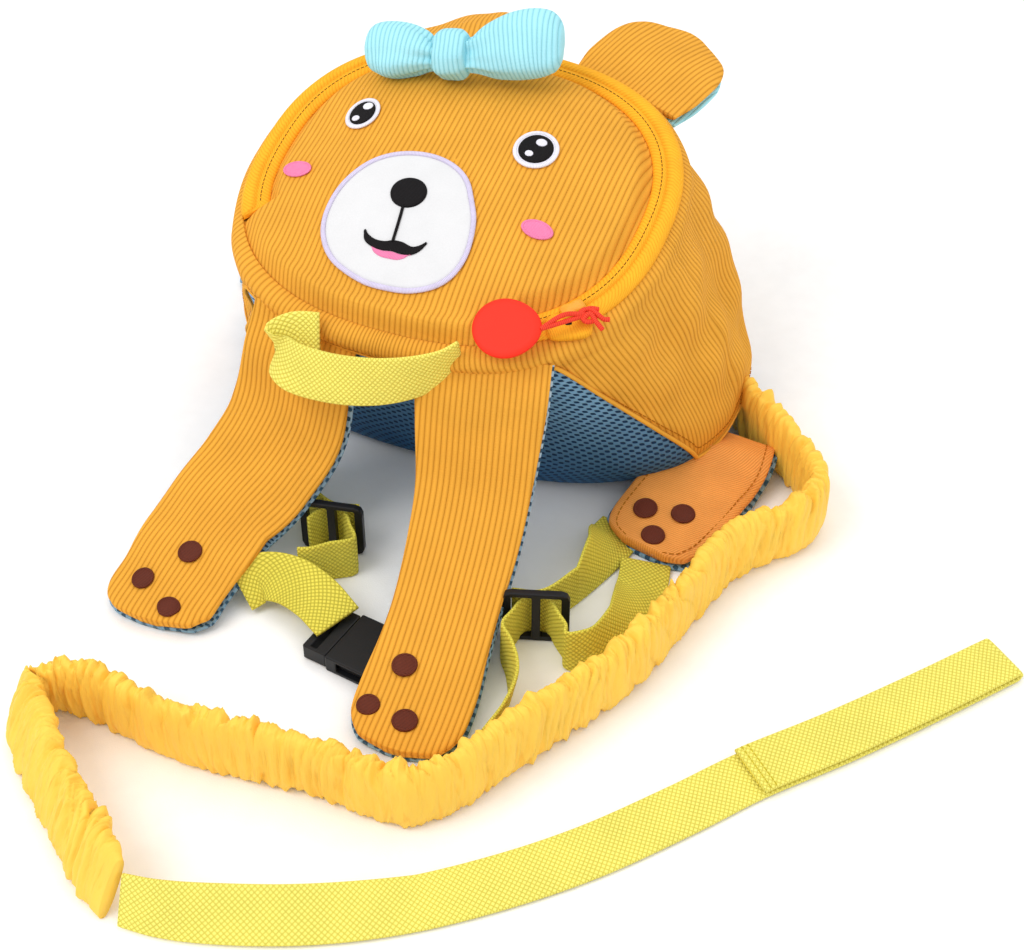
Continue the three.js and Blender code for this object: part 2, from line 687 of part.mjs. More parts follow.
function addHandle() {
  const lean = (share) => HANDLE_LEAN[0].clone().lerp(HANDLE_LEAN[1], share);
  const rows = rowsAlong(HANDLE, 22, HANDLE_WIDTH / 2, HANDLE_THICKNESS / 2, lean);
  addNode('handle', tapeSection(rows), 'yellow_webbing');
}

// Boxes are joined and cut as solids
const solids = await Module();
solids.setup();

function toSolid(geometry) {
  const bare = geometry.clone();
  bare.deleteAttribute('normal');
  bare.deleteAttribute('uv');
  const merged = mergeVertices(bare);
  const vertProperties = new Float32Array(merged.attributes.position.array);
  return new solids.Manifold(new solids.Mesh({
    numProp: 3, vertProperties, triVerts: new Uint32Array(merged.index.array),
  }));
}

function fromSolid(solid) {
  const { vertProperties, triVerts } = solid.getMesh();
  const geometry = new THREE.BufferGeometry();
  geometry.setAttribute('position', new THREE.Float32BufferAttribute(Array.from(vertProperties), 3));
  geometry.setIndex(Array.from(triVerts));
  geometry.computeVertexNormals();
  return geometry;
}

// A box from its low end along X, with its middle on Y and Z
function block(start, length, width, height, y = 0) {
  return toSolid(new THREE.BoxGeometry(length, width, height).translate(start + length / 2, y, 0));
}

// Adjusters: a three-bar slide that stands on edge, with the webbing threaded behind its middle bar
const ADJUSTERS = [
  { name: 'left', at: [102, -163], turn: 19 },
  { name: 'right', at: [-14, -146], turn: 12 },
];
const FLOOR_GAP = 0.3;
const THREADED = ADJUSTER_DEPTH / 2 + GAP + WEB_THICKNESS / 2;

function fromAdjuster({ at, turn }, x, y) {
  const angle = THREE.MathUtils.degToRad(turn);
  return [at[0] + x * cos(angle) - y * sin(angle), at[1] + x * sin(angle) + y * cos(angle)];
}

function roundedOutline(width, height, radius) {
  const corners = [[1, 1, 0], [-1, 1, 1], [-1, -1, 2], [1, -1, 3]];
  return corners.flatMap(([x, y, quarter]) => [0, 0.5, 1].map((share) => {
    const phi = ((quarter + share) * PI) / 2;
    return [x * (width / 2 - radius) + radius * cos(phi), y * (height / 2 - radius) + radius * sin(phi)];
  }));
}

// A flat plate on the floor plane, turned to stand on edge
function addAdjusters() {
  const windowHeight = WEB_WIDTH + 1;
  const windowWidth = (ADJUSTER_WIDTH - 3 * ADJUSTER_BAR) / 2;
  const outline = roundedOutline(ADJUSTER_WIDTH, ADJUSTER_HEIGHT, ADJUSTER_CORNER);
  let plate = solids.Manifold.extrude([outline], ADJUSTER_DEPTH).translate([0, 0, -ADJUSTER_DEPTH / 2]);
  for (const side of [-1, 1]) {
    const start = (side * (ADJUSTER_BAR + windowWidth)) / 2 - windowWidth / 2;
    plate = plate.subtract(block(start, windowWidth, windowHeight, ADJUSTER_DEPTH + 2));
  }
  for (const adjuster of ADJUSTERS) {
    const mesh = addNode(`adjuster_${adjuster.name}`, fromSolid(plate.rotate([90, 0, 0])), 'black_plastic');
    mesh.rotation.z = THREE.MathUtils.degToRad(adjuster.turn);
    mesh.position.set(adjuster.at[0], adjuster.at[1], FLOOR_GAP + ADJUSTER_HEIGHT / 2);
  }
}

// The threaded stretch of webbing, in an adjuster's own plan
function threaded(adjuster) {
  const pass = [[-15, -15], [-10.5, -6], [-7.5, 0], [-3.6, THREADED], [3.6, THREADED], [7.5, 0], [10.5, -6], [15, -15]];
  return pass.map(([x, y]) => fromAdjuster(adjuster, x, y));
}

// Straps stand on edge along these chosen points of the floor
const [LEFT_ADJUSTER, RIGHT_ADJUSTER] = ADJUSTERS;
const STRAPS = {
  strap_long_left: [
    [102, -240], [106, -224], [106, -206], [99, -191],
    ...threaded(LEFT_ADJUSTER), [122, -176], [136, -172], [147, -154], [151, -132], [150, -112],
  ],
  strap_short_left: [fromAdjuster(LEFT_ADJUSTER, -12, 7.5), fromAdjuster(LEFT_ADJUSTER, 2, 7.5), [111, -136], [118, -114], [119, -98]],
  strap_long_right: [
    ...threaded(RIGHT_ADJUSTER).slice(1), [-6, -166], [-12, -172], [-18, -175],
  ],
  strap_short_right: [fromAdjuster(RIGHT_ADJUSTER, 12, 7.5), fromAdjuster(RIGHT_ADJUSTER, -2, 7.5), [-44, -124], [-62, -106], [-74, -100]],
};

function addStraps() {
  for (const [name, route] of Object.entries(STRAPS)) {
    const height = FLOOR_GAP + ADJUSTER_HEIGHT / 2;
    const points = route.map(([x, y]) => vec(x, y, height));
    const steps = points.length * 2;
    const rows = rowsAlong(points, steps, WEB_WIDTH / 2, WEB_THICKNESS / 2, () => vec(0, 0, 1));
    addNode(name, tapeSection(rows), 'yellow_webbing');
  }
}

// The chest strap: from the bear's right arm over a low hump into the buckle, and from the buckle
// under the left arm
const CHEST_RIGHT = [
  vec(-22, -204, 12), vec(-18, -198, 14.5), vec(-11, -195, 16.5), vec(-3, -197, 15), vec(7, -202, 11.5),
];
const CHEST_LEAN = [vec(0.1, 0.8, 0.6), vec(0.1, 0.98, 0.18)];
const BUCKLE_AT = vec(8, -203, 5.0);
const BUCKLE_TURN = THREE.MathUtils.degToRad(-8);

function addChestStrap() {
  const lean = (share) => CHEST_LEAN[0].clone().lerp(CHEST_LEAN[1], share);
  const rows = rowsAlong(CHEST_RIGHT, 14, WEB_WIDTH / 2, WEB_THICKNESS / 2, lean);
  addNode('chest_strap', tapeSection(rows), 'yellow_webbing');
}

// Side-release buckle: the plug's tongue and side arms sit in the socket's pocket
const PLUG_LENGTH = 13;
const BUCKLE_WALL = 2;
const PRONG_WIDTH = 4;
const TONGUE_WIDTH = 7;
const PRONG_THICKNESS = 4;

function addBuckle() {
  const socketStart = PLUG_LENGTH + GAP;
  const socketLength = BUCKLE_LENGTH - socketStart;
  const pocketHeight = BUCKLE_THICKNESS - 2 * BUCKLE_WALL;
  const reach = socketLength - BUCKLE_WALL - 3;
  const prongY = BUCKLE_WIDTH / 2 - BUCKLE_WALL - GAP - PRONG_WIDTH / 2;
  let plug = block(0, PLUG_LENGTH, BUCKLE_WIDTH - 2, BUCKLE_THICKNESS - 1);
  plug = plug.add(block(PLUG_LENGTH - 1, reach, TONGUE_WIDTH, PRONG_THICKNESS - 1));
  let socket = block(socketStart, socketLength, BUCKLE_WIDTH, BUCKLE_THICKNESS);
  const pocketWidth = BUCKLE_WIDTH - 2 * BUCKLE_WALL;
  socket = socket.subtract(block(socketStart - 1, socketLength - BUCKLE_WALL, pocketWidth, pocketHeight));
  for (const side of [-1, 1]) {
    plug = plug.add(block(PLUG_LENGTH - 1, reach, PRONG_WIDTH, PRONG_THICKNESS, side * prongY));
    const sideWindow = block(socketStart + 6, reach - 6, 3 * BUCKLE_WALL, pocketHeight, (side * BUCKLE_WIDTH) / 2);
    socket = socket.subtract(sideWindow);
  }
  plug = plug.subtract(block(3.5, 3.5, WEB_WIDTH + 1, BUCKLE_THICKNESS + 2));
  for (const [name, solid] of [['buckle_plug', plug], ['buckle_socket', socket]]) {
    const mesh = addNode(name, fromSolid(solid), 'black_plastic');
    mesh.position.copy(BUCKLE_AT);
    mesh.rotation.z = BUCKLE_TURN;
  }
}

// Leash: a gathered sleeve over elastic, then webbing that folds back on itself as a hand loop.
// Both run on edge along chosen points of the floor.
const SLEEVE_ROUTE = [
  [146.5, 44], [158, 30], [168, 10], [180, -8], [194, -22], [203, -38], [199, -56], [185, -72], [173, -91], [167, -117],
  [162, -140], [157, -164], [149, -188], [138, -210], [127, -231], [117, -252], [107, -272], [94, -285], [76, -288],
  [56, -287], [37, -288], [19, -290], [0, -292], [-20, -293], [-41, -291], [-62, -287], [-81, -288], [-93, -297],
  [-91, -312], [-72, -331], [-46, -352], [-18, -372], [-3, -381],
];
const LEASH_ROUTE = [
  [3.4, -383.4], [15, -385], [33, -383], [63, -370], [92, -355], [118, -337], [143, -312], [168, -286], [193, -258],
  [219, -228], [246, -198], [273, -165], [292, -138], [307, -112],
];
const LOOP_END = [309.5, -106.5];
const LOOP_BACK = [[311.5, -112.5], [296.5, -140], [277, -168], [250, -200.5], [233.5, -219.5]];

function addLeash() {
  const curve = new THREE.CatmullRomCurve3(SLEEVE_ROUTE.map(([x, y]) => vec(x, y, 0)), false, 'centripetal');
  const steps = GATHERS * 3;
  const rows = Array.from({ length: steps + 1 }, (_, i) => {
    const wave = i / 3;
    const swell = 0.5 - 0.5 * cos(2 * PI * wave);
    const uneven = 0.5 + 0.5 * sin(wave * 2.4) * cos(wave * 0.9);
    const end = min(1, i / 3, (steps - i) / 3);
    const half = (SLEEVE_HEIGHT / 2) * (0.84 + 0.1 * swell + 0.06 * uneven) * mix(0.8, 1, end);
    const thick = (SLEEVE_THICKNESS / 2) * (0.62 + 0.26 * swell + 0.12 * uneven) * mix(0.5, 1, end);
    return { point: curve.getPointAt(i / steps).setZ(half + FLOOR_GAP), across: vec(0, 0, 1), half, thick };
  });
  addNode('leash_sleeve', strip(rows, 6, 0.75), 'sleeve_cloth');
  const height = LEASH_WIDTH / 2 + FLOOR_GAP;
  const route = [...LEASH_ROUTE, LOOP_END, ...LOOP_BACK].map(([x, y]) => vec(x, y, height));
  const tape = rowsAlong(route, 62, LEASH_WIDTH / 2, LEASH_THICKNESS / 2, () => vec(0, 0, 1));
  addNode('leash_webbing', tapeSection(tape), 'yellow_webbing');
}

// The zip's slider on its tape, a cord loop and a round pull tag lying on the face's edge
function addZipPull() {
  const { u, v } = rimPoint(ZIP_START + SLIDER_ANGLE, 1 - ZIP_WIDTH / HALF_LONG / 2);
  const base = FACE_BASE + ZIP_THICKNESS + 0.3;
  const slider = fromSolid(block(-SLIDER_LENGTH / 2, SLIDER_LENGTH, SLIDER_WIDTH, SLIDER_HEIGHT));
  slider.rotateZ(PI / 4);
  slider.rotateX(FACE_TILT);
  const body = addNode('zip_slider', slider, 'zip_tape');
  body.position.copy(onFacePlane(u, v, base + SLIDER_HEIGHT / 2));
  const tilted = FACE_TILT + TAG_TILT;
  const tagV = vec(0, cos(tilted), sin(tilted));
  const tagN = vec(0, -sin(tilted), cos(tilted));
  const centre = onFacePlane(TAG_PLACE.u, TAG_PLACE.v, TAG_PLACE.lift);
  addNode('pull_tag', loft([-0.5, 0.5].map((side) => Array.from({ length: TAG_SIDES }, (_, k) => {
    const phi = (k / TAG_SIDES) * 2 * PI;
    return centre.clone().add(vec(TAG_RADIUS * cos(phi), 0, 0))
      .addScaledVector(tagV, TAG_RADIUS * sin(phi)).addScaledVector(tagN, side * TAG_THICKNESS);
  }))), 'red_plastic');
  const reach = TAG_RADIUS + PULL_CORD / 2 + GAP;
  const start = centre.clone().add(vec(reach * 0.97, 0, 0)).addScaledVector(tagV, reach * 0.24);
  const end = onFacePlane(u, v, base + SLIDER_HEIGHT + GAP + PULL_CORD / 2);
  const middle = start.clone().lerp(end, 0.5).addScaledVector(FACE_N, 4);
  const rows = rowsAlong([start, middle, end], 10, PULL_CORD / 2, PULL_CORD / 2, () => FACE_N);
  addNode('pull_cord', strip(rows, 8, 1), 'red_plastic');
}

part.name = 'toddler_harness_backpack';
addNode('gusset', gusset(), 'corduroy');
addNode('back_panel', backPanel(), 'blue_mesh');
addNode('face_panel', facePanel(), 'corduroy');
addNode('zip_tape', zipTape(), 'zip_tape');
addFace();
addEars();
addBow();
addArms();
addLegs();
addHandle();
addAdjusters();
addStraps();
addChestStrap();
addBuckle();
addLeash();
addZipPull();

export default part;
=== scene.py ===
"""Toddler harness backpack: the cloth, webbing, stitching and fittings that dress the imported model."""

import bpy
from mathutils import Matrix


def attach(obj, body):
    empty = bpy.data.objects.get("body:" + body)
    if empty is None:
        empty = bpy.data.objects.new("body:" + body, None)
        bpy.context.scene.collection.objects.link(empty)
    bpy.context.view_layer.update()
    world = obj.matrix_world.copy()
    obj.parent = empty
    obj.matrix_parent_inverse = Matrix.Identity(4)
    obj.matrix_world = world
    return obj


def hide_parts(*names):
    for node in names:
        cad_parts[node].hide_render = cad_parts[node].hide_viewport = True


bl_info = {
    "name": "Toddler Harness Backpack",
    "version": (1, 0, 0),
    "blender": (4, 5, 0),
    "location": "View3D > Sidebar > Backpack",
    "description": "Builds the sewn pieces of a bear-faced toddler backpack with its harness and leash",
    "category": "Object",
}

import math

import bpy
import numpy as np
from mathutils import Matrix, Vector

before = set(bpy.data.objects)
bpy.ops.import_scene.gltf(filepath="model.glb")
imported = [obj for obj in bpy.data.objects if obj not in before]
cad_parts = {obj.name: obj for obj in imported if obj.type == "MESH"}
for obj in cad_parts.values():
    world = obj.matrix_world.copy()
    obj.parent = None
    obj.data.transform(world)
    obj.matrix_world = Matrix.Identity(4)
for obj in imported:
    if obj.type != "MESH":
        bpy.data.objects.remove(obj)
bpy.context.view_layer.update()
MM = 0.001
TURN = 2 * math.pi

# Sizes shared with the solids, in millimetres
FACE_WIDTH = 216
FACE_LENGTH = 188
FACE_TILT = math.radians(16)
RIM_HEIGHT = 140.6
RIM_Y = -17
HALF_WIDE = FACE_WIDTH / 2
HALF_LONG = FACE_LENGTH / 2
RIM_SQUARE = 2.4
FACE_PUFF = 18
SEAM_BELOW_RIM = 12
SEAM_CORNER_Y = -92
SEAM_SLOPE = 1.75
SEAM_SIDE_HEIGHT = 24
CLOTH = 2.5
GAP = 0.4
ZIP_WIDTH = 11
ZIP_START = -52
ZIP_END = 205
WEB_WIDTH = 25
WEB_THICK = 2
FLOOR_GAP = 0.6

# Sizes and places that only the sewn pieces have, in millimetres and degrees
SEAM_OVERLAP = 0.012
EDGE_RADIUS = 0.7
ZIP_FADE = (1, 5)
SLIDER_ANGLE = -38
STOP_PLACE = (84.0, -66.5)
KNOT_PLACE = (92.0, -62.4)
WEB_SIDES = 24
WEB_SQUARE = 0.35
WEB_ROWS_APART = 1.6
LEASH_WIDTH = 25
LEASH_THICK = 2.4


# Numbers and curves

def smooth(value, low, high):
    """0 below low and 1 above high, with a soft step between."""
    t = np.clip((np.asarray(value, float) - low) / (high - low), 0, 1)
    return t * t * (3 - 2 * t)


def power(value, exponent):
    """A power that keeps the sign, which squares off a circle or pinches it."""
    return np.sign(value) * np.abs(value) ** exponent


def from_table(values, place):
    """Values at places between rows, smoothly through every row."""
    values = np.asarray(values, float)
    last = len(values) - 1
    i = np.clip(np.floor(place).astype(int), 0, last - 1)
    f = np.asarray(place, float) - i
    if values.ndim > 1:
        f = f[..., None]
    a, b, c, d = (values[np.clip(i + k, 0, last)] for k in (-1, 0, 1, 2))
    bend = (2 * a - 5 * b + 4 * c - d) * f + (3 * (b - c) + d - a) * f * f + (c - a)
    return b + 0.5 * f * bend


def unit(vectors):
    return vectors / np.maximum(np.linalg.norm(vectors, axis=-1, keepdims=True), 1e-9)


def reach_along(points):
    """How far each point of a line lies from its first, along the line."""
    return np.concatenate([[0], np.cumsum(np.linalg.norm(np.diff(points, axis=0), axis=1))])


def angles_round(count, shift=0.0):
    """Evenly spaced angles round a full turn."""
    return (np.arange(count) + shift) / count * TURN


def closed(cloth):
    """Cloth coordinates with their first column again at the end."""
    return np.concatenate([cloth, cloth[:, :1]], axis=1)


def along_curve(points, count):
    """Evenly spaced points on a smooth curve through the chosen ones, and the curve's length."""
    points = np.asarray(points, float)
    first = 2 * points[0] - points[1]
    last = 2 * points[-1] - points[-2]
    full = np.vstack([first, points, last])
    dense = []
    for k in range(1, len(full) - 2):
        p = full[k - 1:k + 3]
        knots = [0.0]
        for a, b in zip(p, p[1:]):
            knots.append(knots[-1] + max(np.linalg.norm(b - a), 1e-6) ** 0.5)
        t = np.linspace(knots[1], knots[2], 40, endpoint=False)[:, None]

        def between(a, b, low, high):
            return (a * (high - t) + b * (t - low)) / (high - low)

        ends = [between(p[n], p[n + 1], knots[n], knots[n + 1]) for n in range(3)]
        pairs = [between(ends[n], ends[n + 1], knots[n], knots[n + 2]) for n in range(2)]
        dense.append(between(pairs[0], pairs[1], knots[1], knots[2]))
    dense = np.vstack(dense + [points[-1:]])
    reach = reach_along(dense)
    wanted = np.linspace(0, reach[-1], count)
    return np.stack([np.interp(wanted, reach, dense[:, k]) for k in range(3)], axis=1), reach[-1]


# Meshes

def new_piece(name, points, faces, cloth, finish, replaces=()):
    """A finished piece from points in millimetres, faces, and cloth coordinates for each face corner."""
    mesh = bpy.data.meshes.new(name)
    mesh.from_pydata((np.asarray(points) * MM).tolist(), [], faces)
    layer = mesh.uv_layers.new(name="Cloth")
    layer.data.foreach_set("uv", np.asarray(cloth, np.float32).ravel())
    mesh.shade_smooth()
    mesh.materials.append(finish)
    piece = bpy.data.objects.new(name, mesh)
    bpy.context.scene.collection.objects.link(piece)
    claim(piece, replaces)
    return piece


def claim(piece, replaces=()):
    """Tells the frame what a piece rides on, and the solids that it stands for."""
    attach(piece, "root")
    if replaces:
        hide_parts(*replaces)


def grid_faces(rows, columns):
    """Faces of a grid of points that closes round its columns, and the row and column of each corner."""
    faces, corners = [], []
    for r in range(rows - 1):
        a, b = r * columns, (r + 1) * columns
        for c in range(columns):
            n = (c + 1) % columns
            faces.append((a + c, a + n, b + n, b + c))
            corners.extend([(r, c), (r, c + 1), (r + 1, c + 1), (r + 1, c)])
    return faces, corners


def shell(name, grid, cloth, finish, replaces=(), wall=0.0, pole=None, flip=False):
    """A piece from a grid of points, closed round its columns, with an optional pole before its first row."""
    rows, columns = grid.shape[:2]
    points = grid.reshape(-1, 3)
    faces, corners = grid_faces(rows, columns)
    coordinates = [cloth[r, c] for r, c in corners]
    if pole is not None:
        points = np.vstack([points, [pole]])
        for c in range(columns):
            faces.append(((c + 1) % columns, c, len(points) - 1))
            coordinates.extend([cloth[0, c + 1], cloth[0, c], (cloth[0, c] + cloth[0, c + 1]) / 2])
    piece = new_piece(name, points, faces, coordinates, finish, replaces)
    if flip:
        piece.data.flip_normals()
    if wall:
        thick = piece.modifiers.new("Wall", "SOLIDIFY")
        thick.thickness = wall * MM
        thick.offset = -1


def outward(rings, closed_loop=False):
    """True if the faces between rings of points point outwards."""
    a = rings - rings.reshape(-1, 3).mean(axis=0)
    b = np.roll(a, -1, axis=0)
    if not closed_loop:
        a, b = a[:-1], b[:-1]
    a_next, b_next = np.roll(a, -1, axis=1), np.roll(b, -1, axis=1)
    return np.einsum("ijk,ijk->", a, np.cross(a_next, b_next) + np.cross(b_next, b)) > 0


def loft(name, rings, cloth, finish, replaces=()):
    """A closed body from rings of points, with a fan at each end."""
    if not outward(rings):
        rings, cloth = rings[:, ::-1], cloth[:, ::-1]
    rows, columns = rings.shape[:2]
    points = np.vstack([rings.reshape(-1, 3), rings[0].mean(axis=0), rings[-1].mean(axis=0)])
    faces, corners = grid_faces(rows, columns)
    coordinates = [cloth[r, c] for r, c in corners]
    for centre, row, order in ((rows * columns, 0, -1), (rows * columns + 1, rows - 1, 1)):
        for c in range(columns):
            near, far = (c, c + 1)[::order]
            faces.append((row * columns + near % columns, row * columns + far % columns, centre))
            coordinates.extend([cloth[row, near], cloth[row, far], cloth[row].mean(axis=0)])
    new_piece(name, points, faces, coordinates, finish, replaces)


def loop_shell(name, rings, cloth, finish):
    """A closed loop of rings, such as a rolled hem or a sewn border."""
    grid = np.concatenate([rings, rings[:1]])
    shell(name, grid, cloth, finish, flip=not outward(rings, closed_loop=True))


def frames_along(points, across):
    """Directions across and out of the upper side at each row of a strip."""
    ahead = unit(np.gradient(points, axis=0))
    across = np.broadcast_to(np.asarray(across, float), points.shape)
    across = unit(across - (across * ahead).sum(axis=1, keepdims=True) * ahead)
    return across, np.cross(ahead, across)


def strip_rings(points, across, half, thick, sides, square, lift=0.0):
    """Rings of a strip along points, and its cloth coordinates: across and along, in millimetres."""
    across, out = frames_along(points, across)
    half = np.broadcast_to(half, len(points))[:, None]
    thick = np.broadcast_to(thick, len(points))[:, None]
    phi = angles_round(sides, 0.5)
    side = half * power(np.cos(phi), square)
    rise = thick * power(np.sin(phi), square) + lift
    rings = points[:, None] + across[:, None] * side[..., None] + out[:, None] * rise[..., None]
    along = np.broadcast_to(reach_along(points)[:, None], side.shape)
    return rings, closed(np.stack([side, along], axis=-1))


def tape(name, points, directions, ease, thickness, finish, replaces):
    """Webbing along a curve. Its across direction turns from one to another, later with a higher ease."""
    count = int(reach_along(np.asarray(points, float))[-1] / WEB_ROWS_APART)
    path, _ = along_curve(points, max(24, count))
    late = np.linspace(0, 1, len(path))[:, None] ** ease
    first, last = (np.array(direction) for direction in directions)
    across = first * (1 - late) + last * late
    rings, cloth = strip_rings(path, across, WEB_WIDTH / 2, thickness / 2, WEB_SIDES, WEB_SQUARE)
    loft(name, rings, cloth, finish, replaces)


def floor_band(route, width, thickness, angles):
    """Centres and across directions of a band whose lower edge follows a route on the floor.

    angles gives how far it leans over to its left at shares of its length, from 0 upright to 90 flat.
    """
    coarse, _ = along_curve([(x, y, 0) for x, y in route], 60)
    path, _ = along_curve(coarse, 300)
    share = np.linspace(0, 1, len(path))
    angle = np.radians(np.interp(share, [at for at, _ in angles], [amount for _, amount in angles]))
    way = unit(np.gradient(path, axis=0))
    left = np.stack([-way[:, 1], way[:, 0], np.zeros(len(path))], axis=1)
    across = np.cos(angle)[:, None] * np.array([0, 0, 1]) + np.sin(angle)[:, None] * left
    centres = path + np.sin(angle)[:, None] * left * width / 2
    centres[:, 2] = FLOOR_GAP + width / 2 * np.cos(angle) + thickness / 2 * np.sin(angle)
    return centres, across, share


def edge_tape(name, route, angles, replaces):
    """Webbing along a route on the floor, upright or leaning over to its left."""
    centres, across, _ = floor_band(route, WEB_WIDTH, WEB_THICK, angles)
    rings, cloth = strip_rings(centres, across, WEB_WIDTH / 2, WEB_THICK / 2, WEB_SIDES, WEB_SQUARE)
    loft(name, rings, cloth, FINISHES["web_painted_shade"], replaces)


# The bag's surfaces, as in the solids. Each row of BODY is one level between the floor and the rim.
BODY = {
    "up": [0.0, 0.035, 0.17, 0.40, 0.66, 0.86, 0.95, 1.0],
    "tilt": [0.0, 0.0, 0.04, 0.28, 0.62, 0.90, 1.0, 1.0],
    "wide": [0.92, 1.12, 1.34, 1.31, 1.20, 1.11, 1.045, 1.0],
    "middle": [0.188, 0.215, 0.24, 0.22, 0.14, 0.04, 0.0, 0.0],
    "front": [0.62, 0.78, 0.88, 0.94, 1.02, 1.06, 1.04, 1.0],
    "back": [0.62, 0.76, 0.90, 0.98, 1.06, 1.09, 1.05, 1.0],
    "square": [2.6, 2.7, 2.8, 2.8, 2.7, 2.5, 2.4, 2.4],
}
BODY_TOP = 7

# The cloth's own shape: how far the front left is tucked in, and its folds as angle, depth and spread
LEFT_TUCK = 19
FOLDS = [
    (-14, 5.0, 9), (12, 6.5, 8), (38, 5.0, 10), (74, 4.0, 12),
    (110, 4.5, 11), (146, 5.0, 10), (170, 5.5, 9), (196, 4.5, 9),
]


def degrees_round(phi, start=-90):
    """An angle in degrees, in the full turn after a start."""
    return (np.degrees(phi) - start) % 360 + start


def body_point(phi, place):
    """A point of the bag's side at an angle and a level, with its folds and its tuck."""
    phi = np.asarray(phi, float)
    place = np.asarray(place, float)
    row = {key: from_table(values, place) for key, values in BODY.items()}
    low = smooth(place, 2.2, 3.6) * (1 - smooth(place, 4.6, 6.6))
    angle = degrees_round(phi)
    inward = low * sum(depth * np.exp(-(((angle - at) / spread) ** 2)) for at, depth, spread in FOLDS)
    tuck = LEFT_TUCK * smooth(-np.cos(phi), 0.3, 0.85) * smooth(-np.sin(phi), -0.15, 0.4)
    tuck = tuck * (1 - smooth(place, 3.4, 5.6))
    wide = row["wide"] * HALF_WIDE - inward - tuck
    long = np.where(np.sin(phi) >= 0, row["back"], row["front"]) * HALF_LONG - inward
    square = 2 / row["square"]
    y = (row["middle"] * HALF_LONG + long * power(np.sin(phi), square)) * math.cos(FACE_TILT)
    z = row["up"] * RIM_HEIGHT + np.tan(row["tilt"] * FACE_TILT) * y
    return np.stack([wide * power(np.cos(phi), square), RIM_Y + y, z], axis=-1)


def body_normal(phi, place):
    """The direction straight out of the bag's side."""
    step = 0.01
    low = np.clip(place, step, BODY_TOP - step)
    round_it = body_point(phi + step, low) - body_point(phi - step, low)
    upward = body_point(phi, low + step) - body_point(phi, low - step)
    return unit(np.cross(round_it, upward))


def seam_place(phi):
    """The level of the seam between the gusset and the mesh back, found by halving."""
    low = np.full(np.shape(phi), 0.2)
    high = np.full(np.shape(phi), float(BODY_TOP))
    for _ in range(26):
        middle = (low + high) / 2
        p = body_point(phi, middle)
        chin = RIM_HEIGHT + math.tan(FACE_TILT) * (p[..., 1] - RIM_Y) - SEAM_BELOW_RIM
        fall = chin - SEAM_SLOPE * np.maximum(p[..., 1] - SEAM_CORNER_Y, 0)
        under = p[..., 2] < np.maximum(np.minimum(chin, fall), SEAM_SIDE_HEIGHT)
        low = np.where(under, middle, low)
        high = np.where(under, high, middle)
    return low


FACE_V = np.array([0, math.cos(FACE_TILT), math.sin(FACE_TILT)])
FACE_N = np.array([0, -math.sin(FACE_TILT), math.cos(FACE_TILT)])


def on_face_plane(u, v, lift):
    """A point over the rim's plane."""
    u, v, lift = np.broadcast_arrays(u, v, lift)
    centre = np.array([0, RIM_Y, RIM_HEIGHT])
    return centre + u[..., None] * np.array([1, 0, 0]) + v[..., None] * FACE_V + lift[..., None] * FACE_N


def rim_share(u, v):
    """How far out a place on the face is: 0 in the middle and 1 at the rim."""
    return (np.abs(u / HALF_WIDE) ** RIM_SQUARE + np.abs(v / HALF_LONG) ** RIM_SQUARE) ** (1 / RIM_SQUARE)


def puff(u, v):
    """How far the stuffed face rises over the rim's plane."""
    return FACE_PUFF * (1 - np.minimum(rim_share(u, v), 1) ** 2.6)


def cloth_height(u, v):
    """Height of the face cloth's top above the rim's plane, with its soft unevenness."""
    uneven = 0.9 * ripples(u, v, 3, 6, 55, 120) * (1 - smooth(rim_share(u, v), 0.78, 0.9))
    return puff(u, v) + GAP + CLOTH + uneven


def on_face(u, v, lift):
    """A point above the face cloth."""
    return on_face_plane(u, v, cloth_height(u, v) + lift)


def rim_point(phi, share):
    """A place on the face at an angle, at a share of the way to the rim."""
    e = 2 / RIM_SQUARE
    return HALF_WIDE * share * power(np.cos(phi), e), HALF_LONG * share * power(np.sin(phi), e)


def zip_cover(phi):
    """Where the zip runs: 1 along it, falling to 0 past its ends."""
    near, far = ZIP_FADE
    angle = degrees_round(phi, -100)
    return smooth(angle, ZIP_START - far, ZIP_START - near) * (1 - smooth(angle, ZIP_END + near, ZIP_END + far))


def ripples(a, b, seed, waves, low, high):
    """Soft seeded undulations over two coordinates in millimetres, about -1 to 1."""
    chance = np.random.default_rng(seed)
    total = 0
    for _ in range(waves):
        heading = chance.uniform(0, math.pi)
        length = chance.uniform(low, high)
        phase = chance.uniform(0, TURN)
        total = total + np.sin(TURN * (a * math.cos(heading) + b * math.sin(heading)) / length + phase)
    return total / math.sqrt(waves)


# Materials

def colour(hex_text):
    """sRGB hex to the linear colour that shaders take."""
    parts = [int(hex_text[k:k + 2], 16) / 255 for k in (1, 3, 5)]
    return (*(c / 12.92 if c <= 0.04045 else ((c + 0.055) / 1.055) ** 2.4 for c in parts), 1.0)


def add(tree, kind, links=None, **settings):
    """Adds a node with its settings, and links or sets its inputs."""
    node = tree.nodes.new(kind)
    for key, value in settings.items():
        setattr(node, key, value)
    for key, value in (links or {}).items():
        if isinstance(value, bpy.types.NodeSocket):
            tree.links.new(value, node.inputs[key])
        else:
            node.inputs[key].default_value = value
    return node


def start_material(name):
    """An empty material tree with its output and its main shader."""
    made = bpy.data.materials.new(name)
    made.use_nodes = True
    tree = made.node_tree
    tree.nodes.clear()
    shader = add(tree, "ShaderNodeBsdfPrincipled")
    add(tree, "ShaderNodeOutputMaterial", {"Surface": shader.outputs[0]})
    return made, tree, shader


def cloth_axes(tree):
    """The cloth coordinates across and along the piece, in millimetres."""
    own = add(tree, "ShaderNodeUVMap", uv_map="Cloth")
    split = add(tree, "ShaderNodeSeparateXYZ", {0: own.outputs[0]})
    return split.outputs[0], split.outputs[1]


